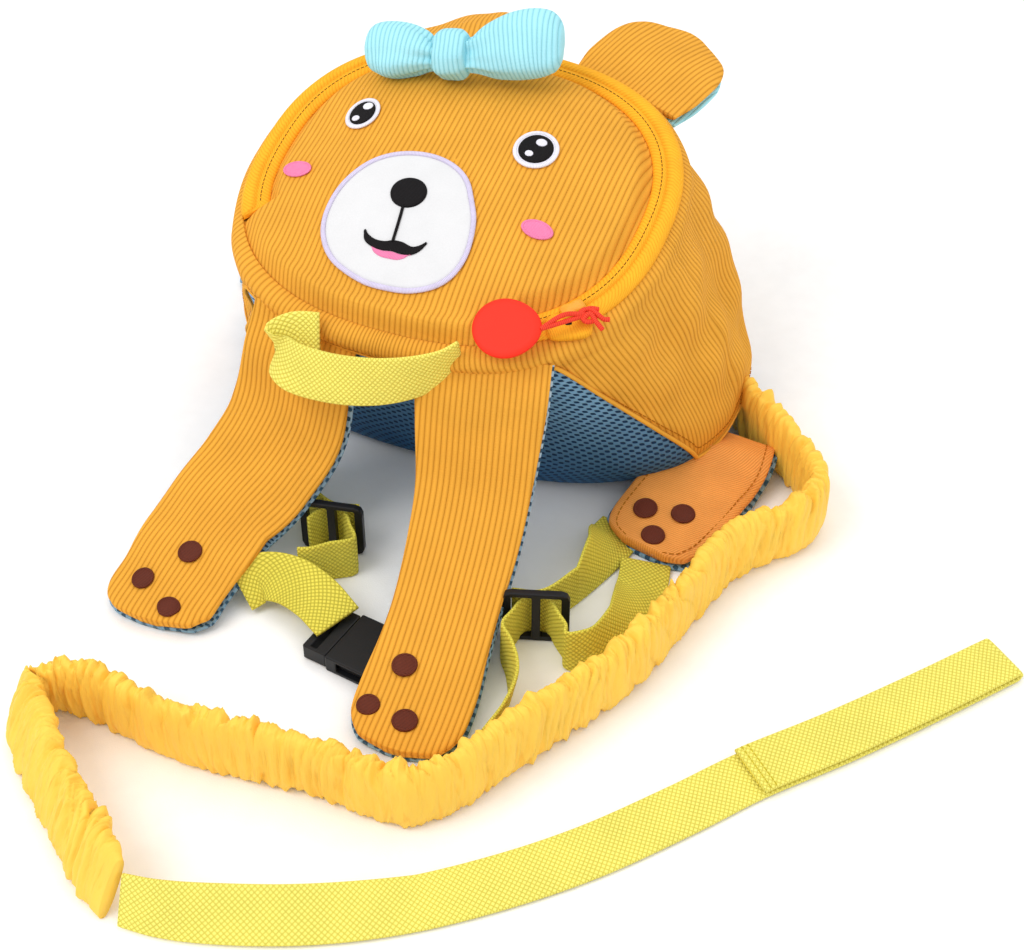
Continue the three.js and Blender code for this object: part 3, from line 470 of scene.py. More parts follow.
def ribs(tree, value, pitch):
    """Rounded ribs with narrow grooves between: 0 in a groove and 1 on a rib."""
    turned = add(tree, "ShaderNodeMath", {0: value, 1: math.pi / pitch}, operation="MULTIPLY")
    wave = add(tree, "ShaderNodeMath", {0: turned.outputs[0]}, operation="SINE")
    humps = add(tree, "ShaderNodeMath", {0: wave.outputs[0]}, operation="ABSOLUTE")
    return add(tree, "ShaderNodeMath", {0: humps.outputs[0], 1: 0.55}, operation="POWER").outputs[0]


def blotches(tree, scale_mm, amount):
    """Slow colour variation in the cloth, as a brightness near 1."""
    place = add(tree, "ShaderNodeTexCoord")
    noise = add(tree, "ShaderNodeTexNoise", {
        "Vector": place.outputs["Object"], "Scale": 1000 / scale_mm, "Detail": 2.0,
    })
    bright = add(tree, "ShaderNodeMapRange", {
        "Value": noise.outputs["Fac"], "From Min": 0.3, "From Max": 0.7,
        "To Min": 1 - amount, "To Max": 1 + amount,
    })
    return bright.outputs[0]


def tinted(tree, low, high, factor, brightness):
    """A colour between two hex values, made lighter and darker by a brightness."""
    ends = {"Factor": factor, "A": colour(low), "B": colour(high)}
    mixed = add(tree, "ShaderNodeMix", ends, data_type="RGBA")
    shaded = add(tree, "ShaderNodeHueSaturation", {"Color": mixed.outputs["Result"], "Value": brightness})
    return shaded.outputs[0]


def finish_cloth(tree, shader, tint, height, depth_mm, strength, roughness, sheen, sheen_tint):
    """Gives a shader its colour, the relief of its threads and the soft sheen of fibres."""
    tree.links.new(tint, shader.inputs["Base Color"])
    bump = add(tree, "ShaderNodeBump", {"Height": height, "Distance": depth_mm * MM, "Strength": strength})
    tree.links.new(bump.outputs[0], shader.inputs["Normal"])
    shader.inputs["Roughness"].default_value = roughness
    shader.inputs["Specular IOR Level"].default_value = CLOTH_SPECULAR
    shader.inputs["Sheen Weight"].default_value = sheen
    shader.inputs["Sheen Roughness"].default_value = SHEEN_ROUGHNESS
    shader.inputs["Sheen Tint"].default_value = colour(sheen_tint)


# Pattern sizes in millimetres. Stitch rows, twill, webbing floats and satin threads are drawn about
# twice as coarse as real ones, or they would be too fine to show.
STITCH_ROW = 1.5
TWILL_PITCH = 1.3
ZIP_TWILL_PITCH = 1.2
FLOAT_PITCH = 2.6
THREAD_PITCH = 0.7
CORD_PITCH = 0.9
HOLE_ACROSS = 6.0
HOLE_ALONG = 4.6
GRAIN = 0.8
GRAIN_DEPTH = 0.04
NAP = 1000 / 1400
CLOTH_SPECULAR = 0.12
SHEEN_ROUGHNESS = 0.5


def rib_knit(name, light, dark, pitch, depth=0.8, axis=0):
    """Rib-knit cotton: soft round ribs with painted shade in the grooves, and rows of tiny stitches across
    them.
    """
    made, tree, shader = start_material(name)
    axes = cloth_axes(tree)
    rib = ribs(tree, axes[axis], pitch)
    stitch_row = ribs(tree, axes[1 - axis], STITCH_ROW)
    knit = add(tree, "ShaderNodeMath", {0: stitch_row, 1: 0.12, 2: rib}, operation="MULTIPLY_ADD")
    tint = tinted(tree, dark, light, rib, blotches(tree, 22, 0.045))
    finish_cloth(tree, shader, tint, knit.outputs[0], depth, 0.75, 0.88, 0.1, light)
    return made


def twill(name, light, dark, pitch, roughness=0.5):
    """Polyester satin twill: fine slanted ribs that catch the light, with painted shade between them."""
    made, tree, shader = start_material(name)
    across, along = cloth_axes(tree)
    slant = add(tree, "ShaderNodeMath", {0: along, 1: 0.55, 2: across}, operation="MULTIPLY_ADD")
    rib = ribs(tree, slant.outputs[0], pitch)
    tint = tinted(tree, dark, light, rib, blotches(tree, 14, 0.06))
    finish_cloth(tree, shader, tint, rib, 0.4, 0.5, roughness, 0.14, light)
    return made


def spacer_mesh(name, light, dark, hole_shade):
    """Padded spacer mesh: staggered oval holes through a shiny knitted face, with painted shade inside the
    holes and painted shade darkening the face lower down.
    """
    made, tree, shader = start_material(name)
    across, along = cloth_axes(tree)
    waves = []
    for axis, spacing in ((across, HOLE_ACROSS), (along, HOLE_ALONG)):
        turned = add(tree, "ShaderNodeMath", {0: axis, 1: TURN / spacing}, operation="MULTIPLY")
        waves.append(add(tree, "ShaderNodeMath", {0: turned.outputs[0]}, operation="COSINE").outputs[0])
    weave = add(tree, "ShaderNodeMath", {0: waves[0], 1: waves[1]}, operation="MULTIPLY")
    holes = add(tree, "ShaderNodeMapRange", {"Value": weave.outputs[0], "From Min": 0.05, "From Max": 0.4})
    strands = add(tree, "ShaderNodeMath", {0: 1.0, 1: holes.outputs[0]}, operation="SUBTRACT").outputs[0]
    own = add(tree, "ShaderNodeTexCoord")
    height = add(tree, "ShaderNodeSeparateXYZ", {0: own.outputs["Object"]})
    # Painted shade: the mesh face is darker lower down and lighter higher up.
    lift = add(tree, "ShaderNodeMapRange", {"Value": height.outputs[2], "From Min": 0.01, "From Max": 0.105})
    face = tinted(tree, dark, light, lift.outputs[0], blotches(tree, 30, 0.10))
    # The holes take a painted shade colour.
    both = add(tree, "ShaderNodeMix", {"Factor": strands, "A": colour(hole_shade), "B": face}, data_type="RGBA")
    finish_cloth(tree, shader, both.outputs["Result"], strands, 1.0, 0.9, 0.6, 0.08, light)
    return made


def webbing(name, light, dark):
    """Woven polyester webbing: a grid of small slanted floats, lit on top with painted shade between them."""
    made, tree, shader = start_material(name)
    across, along = cloth_axes(tree)
    threads = []
    for operation in ("ADD", "SUBTRACT"):
        slant = add(tree, "ShaderNodeMath", {0: across, 1: along}, operation=operation)
        threads.append(ribs(tree, slant.outputs[0], FLOAT_PITCH))
    weave = add(tree, "ShaderNodeMath", {0: threads[0], 1: threads[1]}, operation="MULTIPLY").outputs[0]
    tint = tinted(tree, dark, light, weave, blotches(tree, 18, 0.04))
    finish_cloth(tree, shader, tint, weave, 0.7, 0.7, 0.7, 0.08, light)
    return made


def satin_stitch(name, light, dark, spacing=THREAD_PITCH):
    """Machine satin stitch: close shiny threads side by side, with painted shade between them."""
    made, tree, shader = start_material(name)
    thread = ribs(tree, cloth_axes(tree)[1], spacing)
    tint = tinted(tree, dark, light, thread, blotches(tree, 6, 0.05))
    finish_cloth(tree, shader, tint, thread, 0.25, 0.6, 0.5, 0.08, light)
    return made


def felt(name, light, dark):
    """Brushed felt: matt, with a fine nap."""
    made, tree, shader = start_material(name)
    place = add(tree, "ShaderNodeTexCoord")
    nap = add(tree, "ShaderNodeTexNoise", {
        "Vector": place.outputs["Object"], "Scale": 1000 / NAP, "Detail": 4.0,
    })
    tint = tinted(tree, dark, light, nap.outputs["Fac"], blotches(tree, 12, 0.015))
    finish_cloth(tree, shader, tint, nap.outputs["Fac"], 0.25, 0.35, 0.95, 0.16, light)
    return made


def moulded(name, light, dark, roughness, coat=0.0):
    """Moulded plastic, rubber or paint: an even colour with a fine grain that breaks up its shine."""
    made, tree, shader = start_material(name)
    place = add(tree, "ShaderNodeTexCoord")
    grain = add(tree, "ShaderNodeTexNoise", {
        "Vector": place.outputs["Object"], "Scale": 1000 / GRAIN, "Detail": 3.0,
    })
    tint = tinted(tree, dark, light, grain.outputs["Fac"], blotches(tree, 15, 0.03))
    tree.links.new(tint, shader.inputs["Base Color"])
    bump = add(tree, "ShaderNodeBump", {
        "Height": grain.outputs["Fac"], "Distance": GRAIN_DEPTH * MM, "Strength": 0.5,
    })
    tree.links.new(bump.outputs[0], shader.inputs["Normal"])
    shader.inputs["Roughness"].default_value = roughness
    shader.inputs["Coat Weight"].default_value = coat
    shader.inputs["Specular IOR Level"].default_value = 0.25
    shader.inputs["IOR"].default_value = 1.5
    return made


def gathered_satin(name, light, dark):
    """Satin-faced polyester: bright and smooth, with creases finer than the gathers, darkened with painted
    shade.
    """
    made, tree, shader = start_material(name)
    across, along = cloth_axes(tree)
    slow = add(tree, "ShaderNodeMath", {0: across, 1: 0.05}, operation="MULTIPLY")
    fast = add(tree, "ShaderNodeMath", {0: along, 1: 0.42}, operation="MULTIPLY")
    near = add(tree, "ShaderNodeCombineXYZ", {0: slow.outputs[0], 1: fast.outputs[0]})
    crease = add(tree, "ShaderNodeTexNoise", {
        "Vector": near.outputs[0], "Scale": 1.0, "Detail": 3.0, "Distortion": 0.6,
    })
    folds = add(tree, "ShaderNodeMapRange", {
        "Value": crease.outputs["Fac"], "From Min": 0.25, "From Max": 0.45,
    })
    tint = tinted(tree, dark, light, folds.outputs[0], blotches(tree, 20, 0.03))
    finish_cloth(tree, shader, tint, crease.outputs["Fac"], 1.6, 0.5, 0.45, 0.12, light)
    return made


FINISHES = {}


def make_finishes(sizes):
    """One material for each finish. The hex pairs are the lit top of a thread or rib and its groove, darker as
    painted shade.
    """
    pitch = sizes.rib_pitch / MM
    FINISHES.update({
        "rib": rib_knit("Rib-knit cotton, mustard", "#eba93e", "#cd8624", pitch),
        "aqua": rib_knit("Rib jersey, aqua", "#a9e5f0", "#8ad1de", sizes.jersey_pitch / MM, depth=0.6, axis=1),
        "satin": twill("Satin twill, orange", "#eea050", "#cc7830", TWILL_PITCH),
        "zip": twill("Zip tape, woven polyester, amber", "#ffb52c", "#f0a01e", ZIP_TWILL_PITCH, roughness=0.7),
        "mesh": spacer_mesh("Spacer mesh, polyester, blue", "#86b6dc", "#2a5c8a", "#1a3a5c"),
        "mesh_lining": spacer_mesh("Spacer mesh, polyester, pale blue", "#b4cfe0", "#7fa3bc", "#35566f"),
        # One yellow webbing twice: a darker copy with painted shade for the straps and chest strap, and a
        # lighter copy with painted light for the handle and leash.
        "web_painted_shade": webbing("Woven webbing, polyester, yellow, painted shade", "#efe25c", "#b5a834"),
        "web_painted_light": webbing("Woven webbing, polyester, yellow, painted light", "#fff47c", "#dccb4a"),
        "sleeve": gathered_satin("Gathered satin, amber", "#ffd055", "#fabd44"),
        "felt": felt("Brushed felt, white", "#e2e1e2", "#d8d8d9"),
        "lilac": satin_stitch("Satin stitch, lilac white", "#ddd5ec", "#b3a6cc"),
        "white": satin_stitch("Satin stitch, white", "#f2f0f8", "#c9c4d8"),
        "black": satin_stitch("Satin stitch, black", "#141012", "#060405"),
        "pink": satin_stitch("Satin stitch, pink", "#f58ab6", "#d3638f"),
        "brown": satin_stitch("Satin stitch, brown", "#6a3223", "#3c170e"),
        "thread": satin_stitch("Sewing thread, amber", "#e79a21", "#b06a0c"),
        "thread_dark": satin_stitch("Sewing thread, umber", "#8a5a14", "#5c390a"),
        "thread_yellow": satin_stitch("Sewing thread, yellow", "#f0e050", "#c9b52c"),
        "black_plastic": moulded("Acetal, moulded, black", "#1c1d20", "#101114", 0.38),
        "red_plastic": moulded("Silicone rubber, moulded, red", "#fb3017", "#ee2a14", 0.55),
        "red_cord": satin_stitch("Waxed cord, red", "#f94b35", "#b92514", CORD_PITCH),
        "slider": moulded("Painted zinc slider, amber", "#f4ab2e", "#e0921a", 0.35, coat=0.3),
        "floor": felt("Seamless paper, white", "#ffffff", "#fbfbfb"),
    })


# Stitches follow a seam as repeated short threads

STITCHES = "Stitches on a seam"


def stitch_tree():
    tree = bpy.data.node_groups.new(STITCHES, "GeometryNodeTree")
    face = tree.interface
    face.new_socket("Seam", in_out="INPUT", socket_type="NodeSocketGeometry")
    for name, default in (("Pitch", 0.0032), ("Length", 0.0022), ("Thread Radius", 0.00035)):
        socket = face.new_socket(name, in_out="INPUT", socket_type="NodeSocketFloat")
        socket.default_value = default
        socket.subtype = "DISTANCE"
    face.new_socket("Material", in_out="INPUT", socket_type="NodeSocketMaterial")
    face.new_socket("Stitches", in_out="OUTPUT", socket_type="NodeSocketGeometry")
    given = add(tree, "NodeGroupInput").outputs
    spacing = {"Curve": given["Seam"], "Length": given["Pitch"]}
    spaced = add(tree, "GeometryNodeResampleCurve", spacing, mode="LENGTH")
    heading = add(tree, "GeometryNodeInputTangent")
    turned = add(tree, "FunctionNodeAlignRotationToVector", {"Vector": heading.outputs[0]}, axis="Z")
    thread = add(tree, "GeometryNodeMeshCylinder", {
        "Vertices": 6, "Radius": given["Thread Radius"], "Depth": given["Length"],
    })
    placed = add(tree, "GeometryNodeInstanceOnPoints", {
        "Points": spaced.outputs[0], "Instance": thread.outputs["Mesh"], "Rotation": turned.outputs[0],
    })
    real = add(tree, "GeometryNodeRealizeInstances", {0: placed.outputs[0]})
    finish = add(tree, "GeometryNodeSetMaterial", {"Geometry": real.outputs[0], "Material": given["Material"]})
    add(tree, "NodeGroupOutput", {"Stitches": finish.outputs[0]})
    return tree


def stitch(name, lines, finish, pitch, length, radius):
    """Sewn thread along one or more lines of points in millimetres."""
    tree = bpy.data.node_groups.get(STITCHES) or stitch_tree()
    path = bpy.data.curves.new(name + "_path", "CURVE")
    path.dimensions = "3D"
    for line in lines:
        spline = path.splines.new("POLY")
        spline.points.add(len(line) - 1)
        flat = np.hstack([np.asarray(line) * MM, np.ones((len(line), 1))])
        spline.points.foreach_set("co", flat.ravel())
    seam = bpy.data.objects.new(name + "_path", path)
    bpy.context.scene.collection.objects.link(seam)
    sewn = seam.modifiers.new("Stitches", "NODES")
    sewn.node_group = tree
    values = {"Pitch": pitch * MM, "Length": length * MM, "Thread Radius": radius * MM, "Material": finish}
    for item in tree.interface.items_tree:
        if item.in_out == "INPUT" and item.name in values:
            sewn[item.identifier] = values[item.name]
    bpy.context.view_layer.update()
    made = bpy.data.meshes.new_from_object(seam.evaluated_get(bpy.context.evaluated_depsgraph_get()))
    made.name = name
    bpy.data.objects.remove(seam, do_unlink=True)
    piece = bpy.data.objects.new(name, made)
    bpy.context.scene.collection.objects.link(piece)
    claim(piece)


# Properties

class HarnessSizes(bpy.types.PropertyGroup):
    rib_pitch: bpy.props.FloatProperty(
        name="Rib pitch", description="Spacing of the mustard ribs", default=0.0028, unit="LENGTH")
    jersey_pitch: bpy.props.FloatProperty(
        name="Jersey pitch", description="Spacing of the aqua ribs", default=0.0024, unit="LENGTH")
    stitch_pitch: bpy.props.FloatProperty(
        name="Stitch pitch", description="Spacing of the zip's stitches", default=0.00256, unit="LENGTH")
    chin_roll: bpy.props.FloatProperty(
        name="Chin roll", description="How far the chin's roll stands out", default=0.0055, unit="LENGTH")
    gather_depth: bpy.props.FloatProperty(
        name="Gather depth", description="Depth of the leash sleeve's gathers", default=0.0048, unit="LENGTH")
    floor_size: bpy.props.FloatProperty(
        name="Floor size", description="Width of the studio floor", default=9.0, unit="LENGTH")
    floor_colour: bpy.props.FloatVectorProperty(
        name="Backdrop", description="Colour of the studio backdrop", subtype="COLOR", size=3,
        default=(1.0, 1.0, 1.0))


def sizes_of(context):
    return context.scene.harness_sizes


# The bag

class HARNESS_OT_bag(bpy.types.Operator):
    """Sews the bag: gusset, mesh back and face panel"""
    bl_idname = "harness.bag"
    bl_label = "Bag"

    def execute(self, context):
        self.gusset(sizes_of(context).chin_roll / MM)
        self.back()
        self.face()
        return {"FINISHED"}

    def gusset(self, roll):
        columns, rows = 420, 64
        phi = angles_round(columns)
        seam = seam_place(phi)
        share = np.linspace(0, 1, rows)[:, None]
        place = seam + SEAM_OVERLAP + (BODY_TOP - 0.02 - seam - SEAM_OVERLAP) * share
        round_it = np.broadcast_to(phi, place.shape)
        points = body_point(round_it, place)
        normal = body_normal(round_it, place)
        below = RIM_HEIGHT + math.tan(FACE_TILT) * (points[..., 1] - RIM_Y) - points[..., 2]
        chin = smooth(-np.sin(phi), 0.35, 0.9)
        relief = chin * roll * np.sin(np.pi * np.clip(below / SEAM_BELOW_RIM, 0, 1)) ** 0.8
        relief = relief + (1 - chin) * 1.8 * np.exp(-(((below - 5) / 4) ** 2))
        reach = reach_along(body_point(np.append(phi, TURN), np.full(columns + 1, 4.0)))
        calm = smooth(below, 6, 30) * smooth(share, 0, 0.12)
        relief = relief + calm * 1.5 * ripples(reach[:columns], below, 5, 7, 28, 70)
        points = points + normal * relief[..., None]
        down = closed(-below)
        cloth = np.stack([np.broadcast_to(reach, down.shape), down], axis=-1)
        shell("bag_gusset", points, cloth, FINISHES["rib"], ("gusset",), wall=CLOTH)
        rings, edge = strip_rings(points[0] + normal[0] * 0.6, normal[0], 1.3, 1.3, 10, 1.0)
        edge = np.concatenate([edge, edge[:1]])
        loop_shell("gusset_hem", rings, edge, FINISHES["rib"])
        sewn = points[3] + normal[3] * 0.2
        stitch("gusset_stitches", [np.vstack([sewn, sewn[:1]])], FINISHES["thread"], 3.4, 2.3, 0.32)

    def back(self):
        columns, rows = 360, 40
        phi = angles_round(columns)
        place = (seam_place(phi) - SEAM_OVERLAP) * (np.linspace(0, 1, rows)[:, None]) ** 1.3
        wall = body_point(np.broadcast_to(phi, place.shape), place)
        flats = [wall[0] * share for share in (0.1, 0.3, 0.5, 0.7, 0.88)]
        points = np.concatenate([np.array(flats), wall])
        reach = reach_along(body_point(np.append(phi, TURN), np.full(columns + 1, 3.0)))
        up = reach_along(points[:, 0])
        height = np.repeat(up[:, None], columns, axis=1)
        height[len(flats):] = np.maximum(wall[..., 2], 0) * 1.15 + up[len(flats)]
        height = closed(height)
        cloth = np.stack([np.broadcast_to(reach, height.shape), height], axis=-1)
        middle = np.zeros(3)
        shell("back_mesh", points, cloth, FINISHES["mesh"], ("back_panel",),
              wall=3.5, pole=middle)

    def face(self):
        columns, rows = 360, 60
        phi = angles_round(columns)
        share = np.linspace(0.02, 1, rows)[:, None]
        zip_share = 1 - (ZIP_WIDTH + GAP) / HALF_LONG
        cover = zip_cover(phi)
        edge = 1.0 + (zip_share - 1.0) * cover
        u, v = rim_point(phi, share * edge * (1 + 0.012 * (1 - cover)))
        lift = cloth_height(u, v)
        fall = smooth(share, 0.90, 1.0) ** 1.5
        lift = lift - fall * ((puff(u, v) + 1.6) * cover + 4.6 * (1 - cover))
        chin = smooth(-np.sin(phi), 0.5, 0.95) * (1 - cover)
        lift = lift + 3.6 * chin * np.exp(-(((share - 0.93) / 0.045) ** 2))
        points = on_face_plane(u, v, lift)
        cloth = closed(np.stack([u, v], axis=-1))
        pole = on_face_plane(0.0, 0.0, cloth_height(np.array(0.0), np.array(0.0)))
        shell("face_cloth", points, cloth, FINISHES["rib"], ("face_panel",),
              wall=CLOTH, pole=pole, flip=True)


# The zip's section from the gusset's side to the face's: its share of the width, and its height
ZIP_SECTION = [
    (1.08, -0.6), (1.07, 1.2), (0.95, 3.0), (0.72, 3.6), (0.56, 3.3), (0.52, 2.1),
    (0.48, 2.1), (0.44, 3.3), (0.28, 3.4), (0.07, 2.8), (-0.03, 1.8), (-0.05, 0.2),
]
TAG_PLACE = (59.5, -83.5, 12.2)
TAG_TILT = math.radians(20)
TAG_RADIUS = 15.6
TAG_SECTION = [(0.35, 1.25), (0.8, 1.25), (0.94, 1.05), (1.0, 0.5), (1.0, -0.6), (0.94, -1.1), (0.35, -1.2)]
SLIDER_HALF_WIDTHS = np.array([2.6, 3.6, 4, 3, 3.6, 3.4, 2.4])
SLIDER_HALF_HEIGHTS = np.array([0.8, 1.6, 2, 2, 2, 1.6, 0.8])

# The knotted cord beside the tag: offsets from the knot's place and heights over it
KNOT_LOOPS = [
    [(-5, -3, 0.5), (-2, 2, 2.2), (2.5, 2.5, 1.6), (4, -1.5, 0.8),
     (0.5, -3.6, 1.4), (-2.5, -1, 2.6), (0, 3.5, 2.0), (4, 5, 1.0)],
    [(-1, -4, 1.8), (1.5, 0, 3.0), (5.5, -2.5, 1.5), (9.5, -5, 0.3)],
    [(1, 3, 2.4), (4.5, 1.5, 2.2), (8, 0.5, 0.9), (10.5, 1.5, 0.2)],
]


class HARNESS_OT_zip(bpy.types.Operator):
    """Sews the zip round the face, with its slider, cord and tag"""
    bl_idname = "harness.zip"
    bl_label = "Zip"

    def execute(self, context):
        self.band(sizes_of(context).stitch_pitch / MM)
        self.stop()
        self.slider()
        self.tag_and_cord()
        return {"FINISHED"}

    def band(self, pitch):
        phi = np.radians(np.linspace(ZIP_START - 4.5, ZIP_END + 4.5, 260))
        room = np.maximum(zip_cover(phi), 0.04) * (ZIP_WIDTH + 0.6) / HALF_LONG

        def along_zip(share, height):
            return on_face_plane(*rim_point(phi, 1 - (1 - share) * room), GAP + height)

        rings = np.stack([along_zip(share, height) for share, height in ZIP_SECTION], axis=1)
        cloth = np.zeros((len(phi), len(ZIP_SECTION) + 1, 2))
        cloth[:, :-1, 0] = np.array([share * ZIP_WIDTH for share, _ in ZIP_SECTION])
        cloth[..., 1] = reach_along(rings[:, 3])[:, None]
        loft("zip_band", rings, cloth, FINISHES["zip"], ("zip_tape",))
        sewn = along_zip(0.3, 3.45)[6:-6]
        stitch("zip_stitches", [sewn], FINISHES["thread_dark"], pitch, 1.7, 0.22)

    def stop(self):
        """The folded cloth stop at the zip's lower end, with a black disc as painted shade in its small eyelet.
        """
        phi = angles_round(48)
        across, along = 11 * power(np.cos(phi), 0.6), 7.5 * power(np.sin(phi), 0.6)
        turn = math.radians(24)
        du = across * math.cos(turn) - along * math.sin(turn)
        dv = across * math.sin(turn) + along * math.cos(turn)
        for name, share, low, high, finish, slot in (
            ("zip_stop", 1.0, 1.0, 4.6, "zip", "zip_tape"),
            # The eyelet is a black disc: painted shade in the hole.
            ("zip_eyelet_painted_shade", 0.16, 4.0, 4.9, "black", "dark_thread"),
        ):
            rings, cloth = [], []
            for out, height in ((0.1, high), (0.8, high), (0.95, high - 0.4), (1.0, high - 1.2), (1.0, low)):
                u, v = STOP_PLACE[0] + du * share * out, STOP_PLACE[1] + dv * share * out
                rings.append(on_face_plane(u, v, height))
                cloth.append(np.stack([across * share * out, along * share * out], axis=-1))
            loft(name, np.stack(rings), closed(np.stack(cloth)), FINISHES[finish])

    def slider(self):
        stop = np.radians(SLIDER_ANGLE)
        u, v = (float(value) for value in rim_point(stop, 1 - ZIP_WIDTH / HALF_LONG / 2))
        after, before = (on_face_plane(*rim_point(stop + step, 0.94), 4.0) for step in (0.05, -0.05))
        heading = unit(after - before)
        body = on_face_plane(u, v, 6.2)
        path = np.stack([body + heading * step for step in (-6, -5.4, -3, 0, 3, 5.4, 6)])
        side = np.cross(FACE_N, heading)
        rings, cloth = strip_rings(path, side, SLIDER_HALF_WIDTHS, SLIDER_HALF_HEIGHTS, 24, 0.6)
        loft("slider_body", rings, cloth, FINISHES["slider"], ("zip_slider",))

    def tag_and_cord(self):
        tilt = FACE_TILT + TAG_TILT
        tag_u = np.array([1, 0, 0])
        tag_v = np.array([0, math.cos(tilt), math.sin(tilt)])
        tag_n = np.array([0, -math.sin(tilt), math.cos(tilt)])
        centre = on_face_plane(*TAG_PLACE)
        phi = angles_round(64)
        wide = TAG_RADIUS * (1 + 0.14 * np.maximum(np.cos(phi - 0.35), 0) ** 4)
        rings = np.stack([
            centre + (share * wide * np.cos(phi))[:, None] * tag_u
            + (share * wide * np.sin(phi) * 0.92)[:, None] * tag_v + height * tag_n
            for share, height in TAG_SECTION
        ])
        flat = np.stack([wide * np.cos(phi), wide * np.sin(phi)], axis=-1)
        cloth = closed(np.repeat(flat[None], len(TAG_SECTION), axis=0))
        loft("tag_disc", rings, cloth, FINISHES["red_plastic"], ("pull_tag",))
        knot = on_face_plane(KNOT_PLACE[0], KNOT_PLACE[1], 9.0)
        start = centre + 16.5 * tag_u + 4.0 * tag_v
        for name, lift, spread, replaces in (
            ("pull_cord_upper", 3.4, 1.6, ("pull_cord",)), ("pull_cord_lower", 1.6, -1.6, ()),
        ):
            bow = (start + knot) / 2 + FACE_N * lift + FACE_V * spread
            self.cord(name, [start, bow, knot], 40, 1.15, replaces)
        for number, loop in enumerate(KNOT_LOOPS):
            points = [on_face_plane(KNOT_PLACE[0] + a, KNOT_PLACE[1] + b, 7.4 + c) for a, b, c in loop]
            self.cord(f"pull_knot_{number + 1}", points, 60, 1.2)

    def cord(self, name, points, rows, radius, replaces=()):
        path, _ = along_curve(points, rows)
        rings, cloth = strip_rings(path, FACE_N, radius, radius, 12, 1.0)
        loft(name, rings, cloth, FINISHES["red_cord"], replaces)


PATCH_SECTION = (
    (0.15, 1.0), (0.5, 1.0), (0.8, 1.0), (0.93, 0.85), (1.0, 0.35), (1.0, -0.6), (0.6, -0.6), (0.15, -0.6),
)


def outline_patch(name, centre, outline, lift, height, finish, replaces=(), sides=96):
    """A raised patch on the face. outline gives u and v offsets at an angle for the full size."""
    du, dv = outline(angles_round(sides))
    rings, cloth = [], []
    for share, rise in PATCH_SECTION:
        rings.append(on_face(centre[0] + du * share, centre[1] + dv * share, lift + height * rise))
        cloth.append(np.stack([du * share, dv * share], axis=-1))
    loft(name, np.array(rings), closed(np.array(cloth)), FINISHES[finish], replaces)


def ring_band(name, centre, outline, lift, half, height, finish, sides):
    """A closed satin-stitched border along an outline on the face."""
    du, dv = outline(angles_round(sides))
    middle = on_face(centre[0] + du, centre[1] + dv, lift)
    inner = on_face(centre[0] + du * 0.9, centre[1] + dv * 0.9, lift)
    away = unit(middle - inner)
    round_it = angles_round(12)
    rings = (middle[:, None] + away[:, None] * (half * np.cos(round_it))[None, :, None]
             + FACE_N[None, None] * (height * np.sin(round_it))[None, :, None])
    cloth = np.zeros((sides + 1, 13, 2))
    cloth[..., 0] = np.append(half * np.cos(round_it), half)
    cloth[..., 1] = reach_along(np.vstack([middle, middle[:1]]))[:, None]
    loop_shell(name, rings, cloth, FINISHES[finish])


def oval(width, height):
    return lambda phi: (width / 2 * np.cos(phi), height / 2 * np.sin(phi))


# Places on the face as u and v from its middle, in millimetres
PATCH_LIFT = 0.5
ON_MUZZLE = PATCH_LIFT + 1.1
MUZZLE = (-10.5, -41.0)
MUZZLE_RIM = [
    (-22.3, -3.9), (-7.0, -2.3), (7.7, -8.7), (18.1, -23.4), (26.0, -41.7), (27.2, -57.8), (22.8, -68.2),
    (10.5, -75.5), (-4.5, -77.3), (-24.3, -74.6), (-39.2, -67.2), (-48.0, -54.3), (-48.6, -38.9),
    (-44.6, -25.2), (-36.4, -12.2),
]
NOSE = (-12.3, -27.9)
NOSE_LINE = ((-11.8, -35.5), (-10.4, -45.5), (-9.3, -55.5))
EYES = (("right", (-58.7, 17.2), 16.0, 18.5), ("left", (36.2, 16.4), 20.5, 21.5))
EYE_GLINTS = ((1.4, 4.2, 5.6, 4.6), (-1.9, -4.2, 4.2, 3.6))
PUPIL = 0.84
CHEEKS = (("right", (-76.8, -23.6)), ("left", (54.1, -27.8)))
CHEEK = oval(14.5, 9)
SMILE_TOP = [
    (-25, -52.2), (-22.8, -54.2), (-18.5, -56.0), (-13.5, -56.0), (-9.3, -54.6), (-4.6, -54.4), (1.0, -55.6),
    (4.2, -54.2), (6.8, -51.6),
]
SMILE_LOW = [
    (-25.6, -53.4), (-23.5, -57.6), (-18.4, -60.2), (-12.5, -60.8), (-8, -60.2), (-3.0, -60.6), (2.2, -59.8),
    (5.6, -56.8), (7.6, -52.4),
]
TONGUE_LOW = [
    (-18.8, -60.0), (-16.8, -62.2), (-12.8, -63.8), (-7.8, -64.0), (-3.6, -63.6), (-0.6, -62.0), (0.9, -60.0),
]


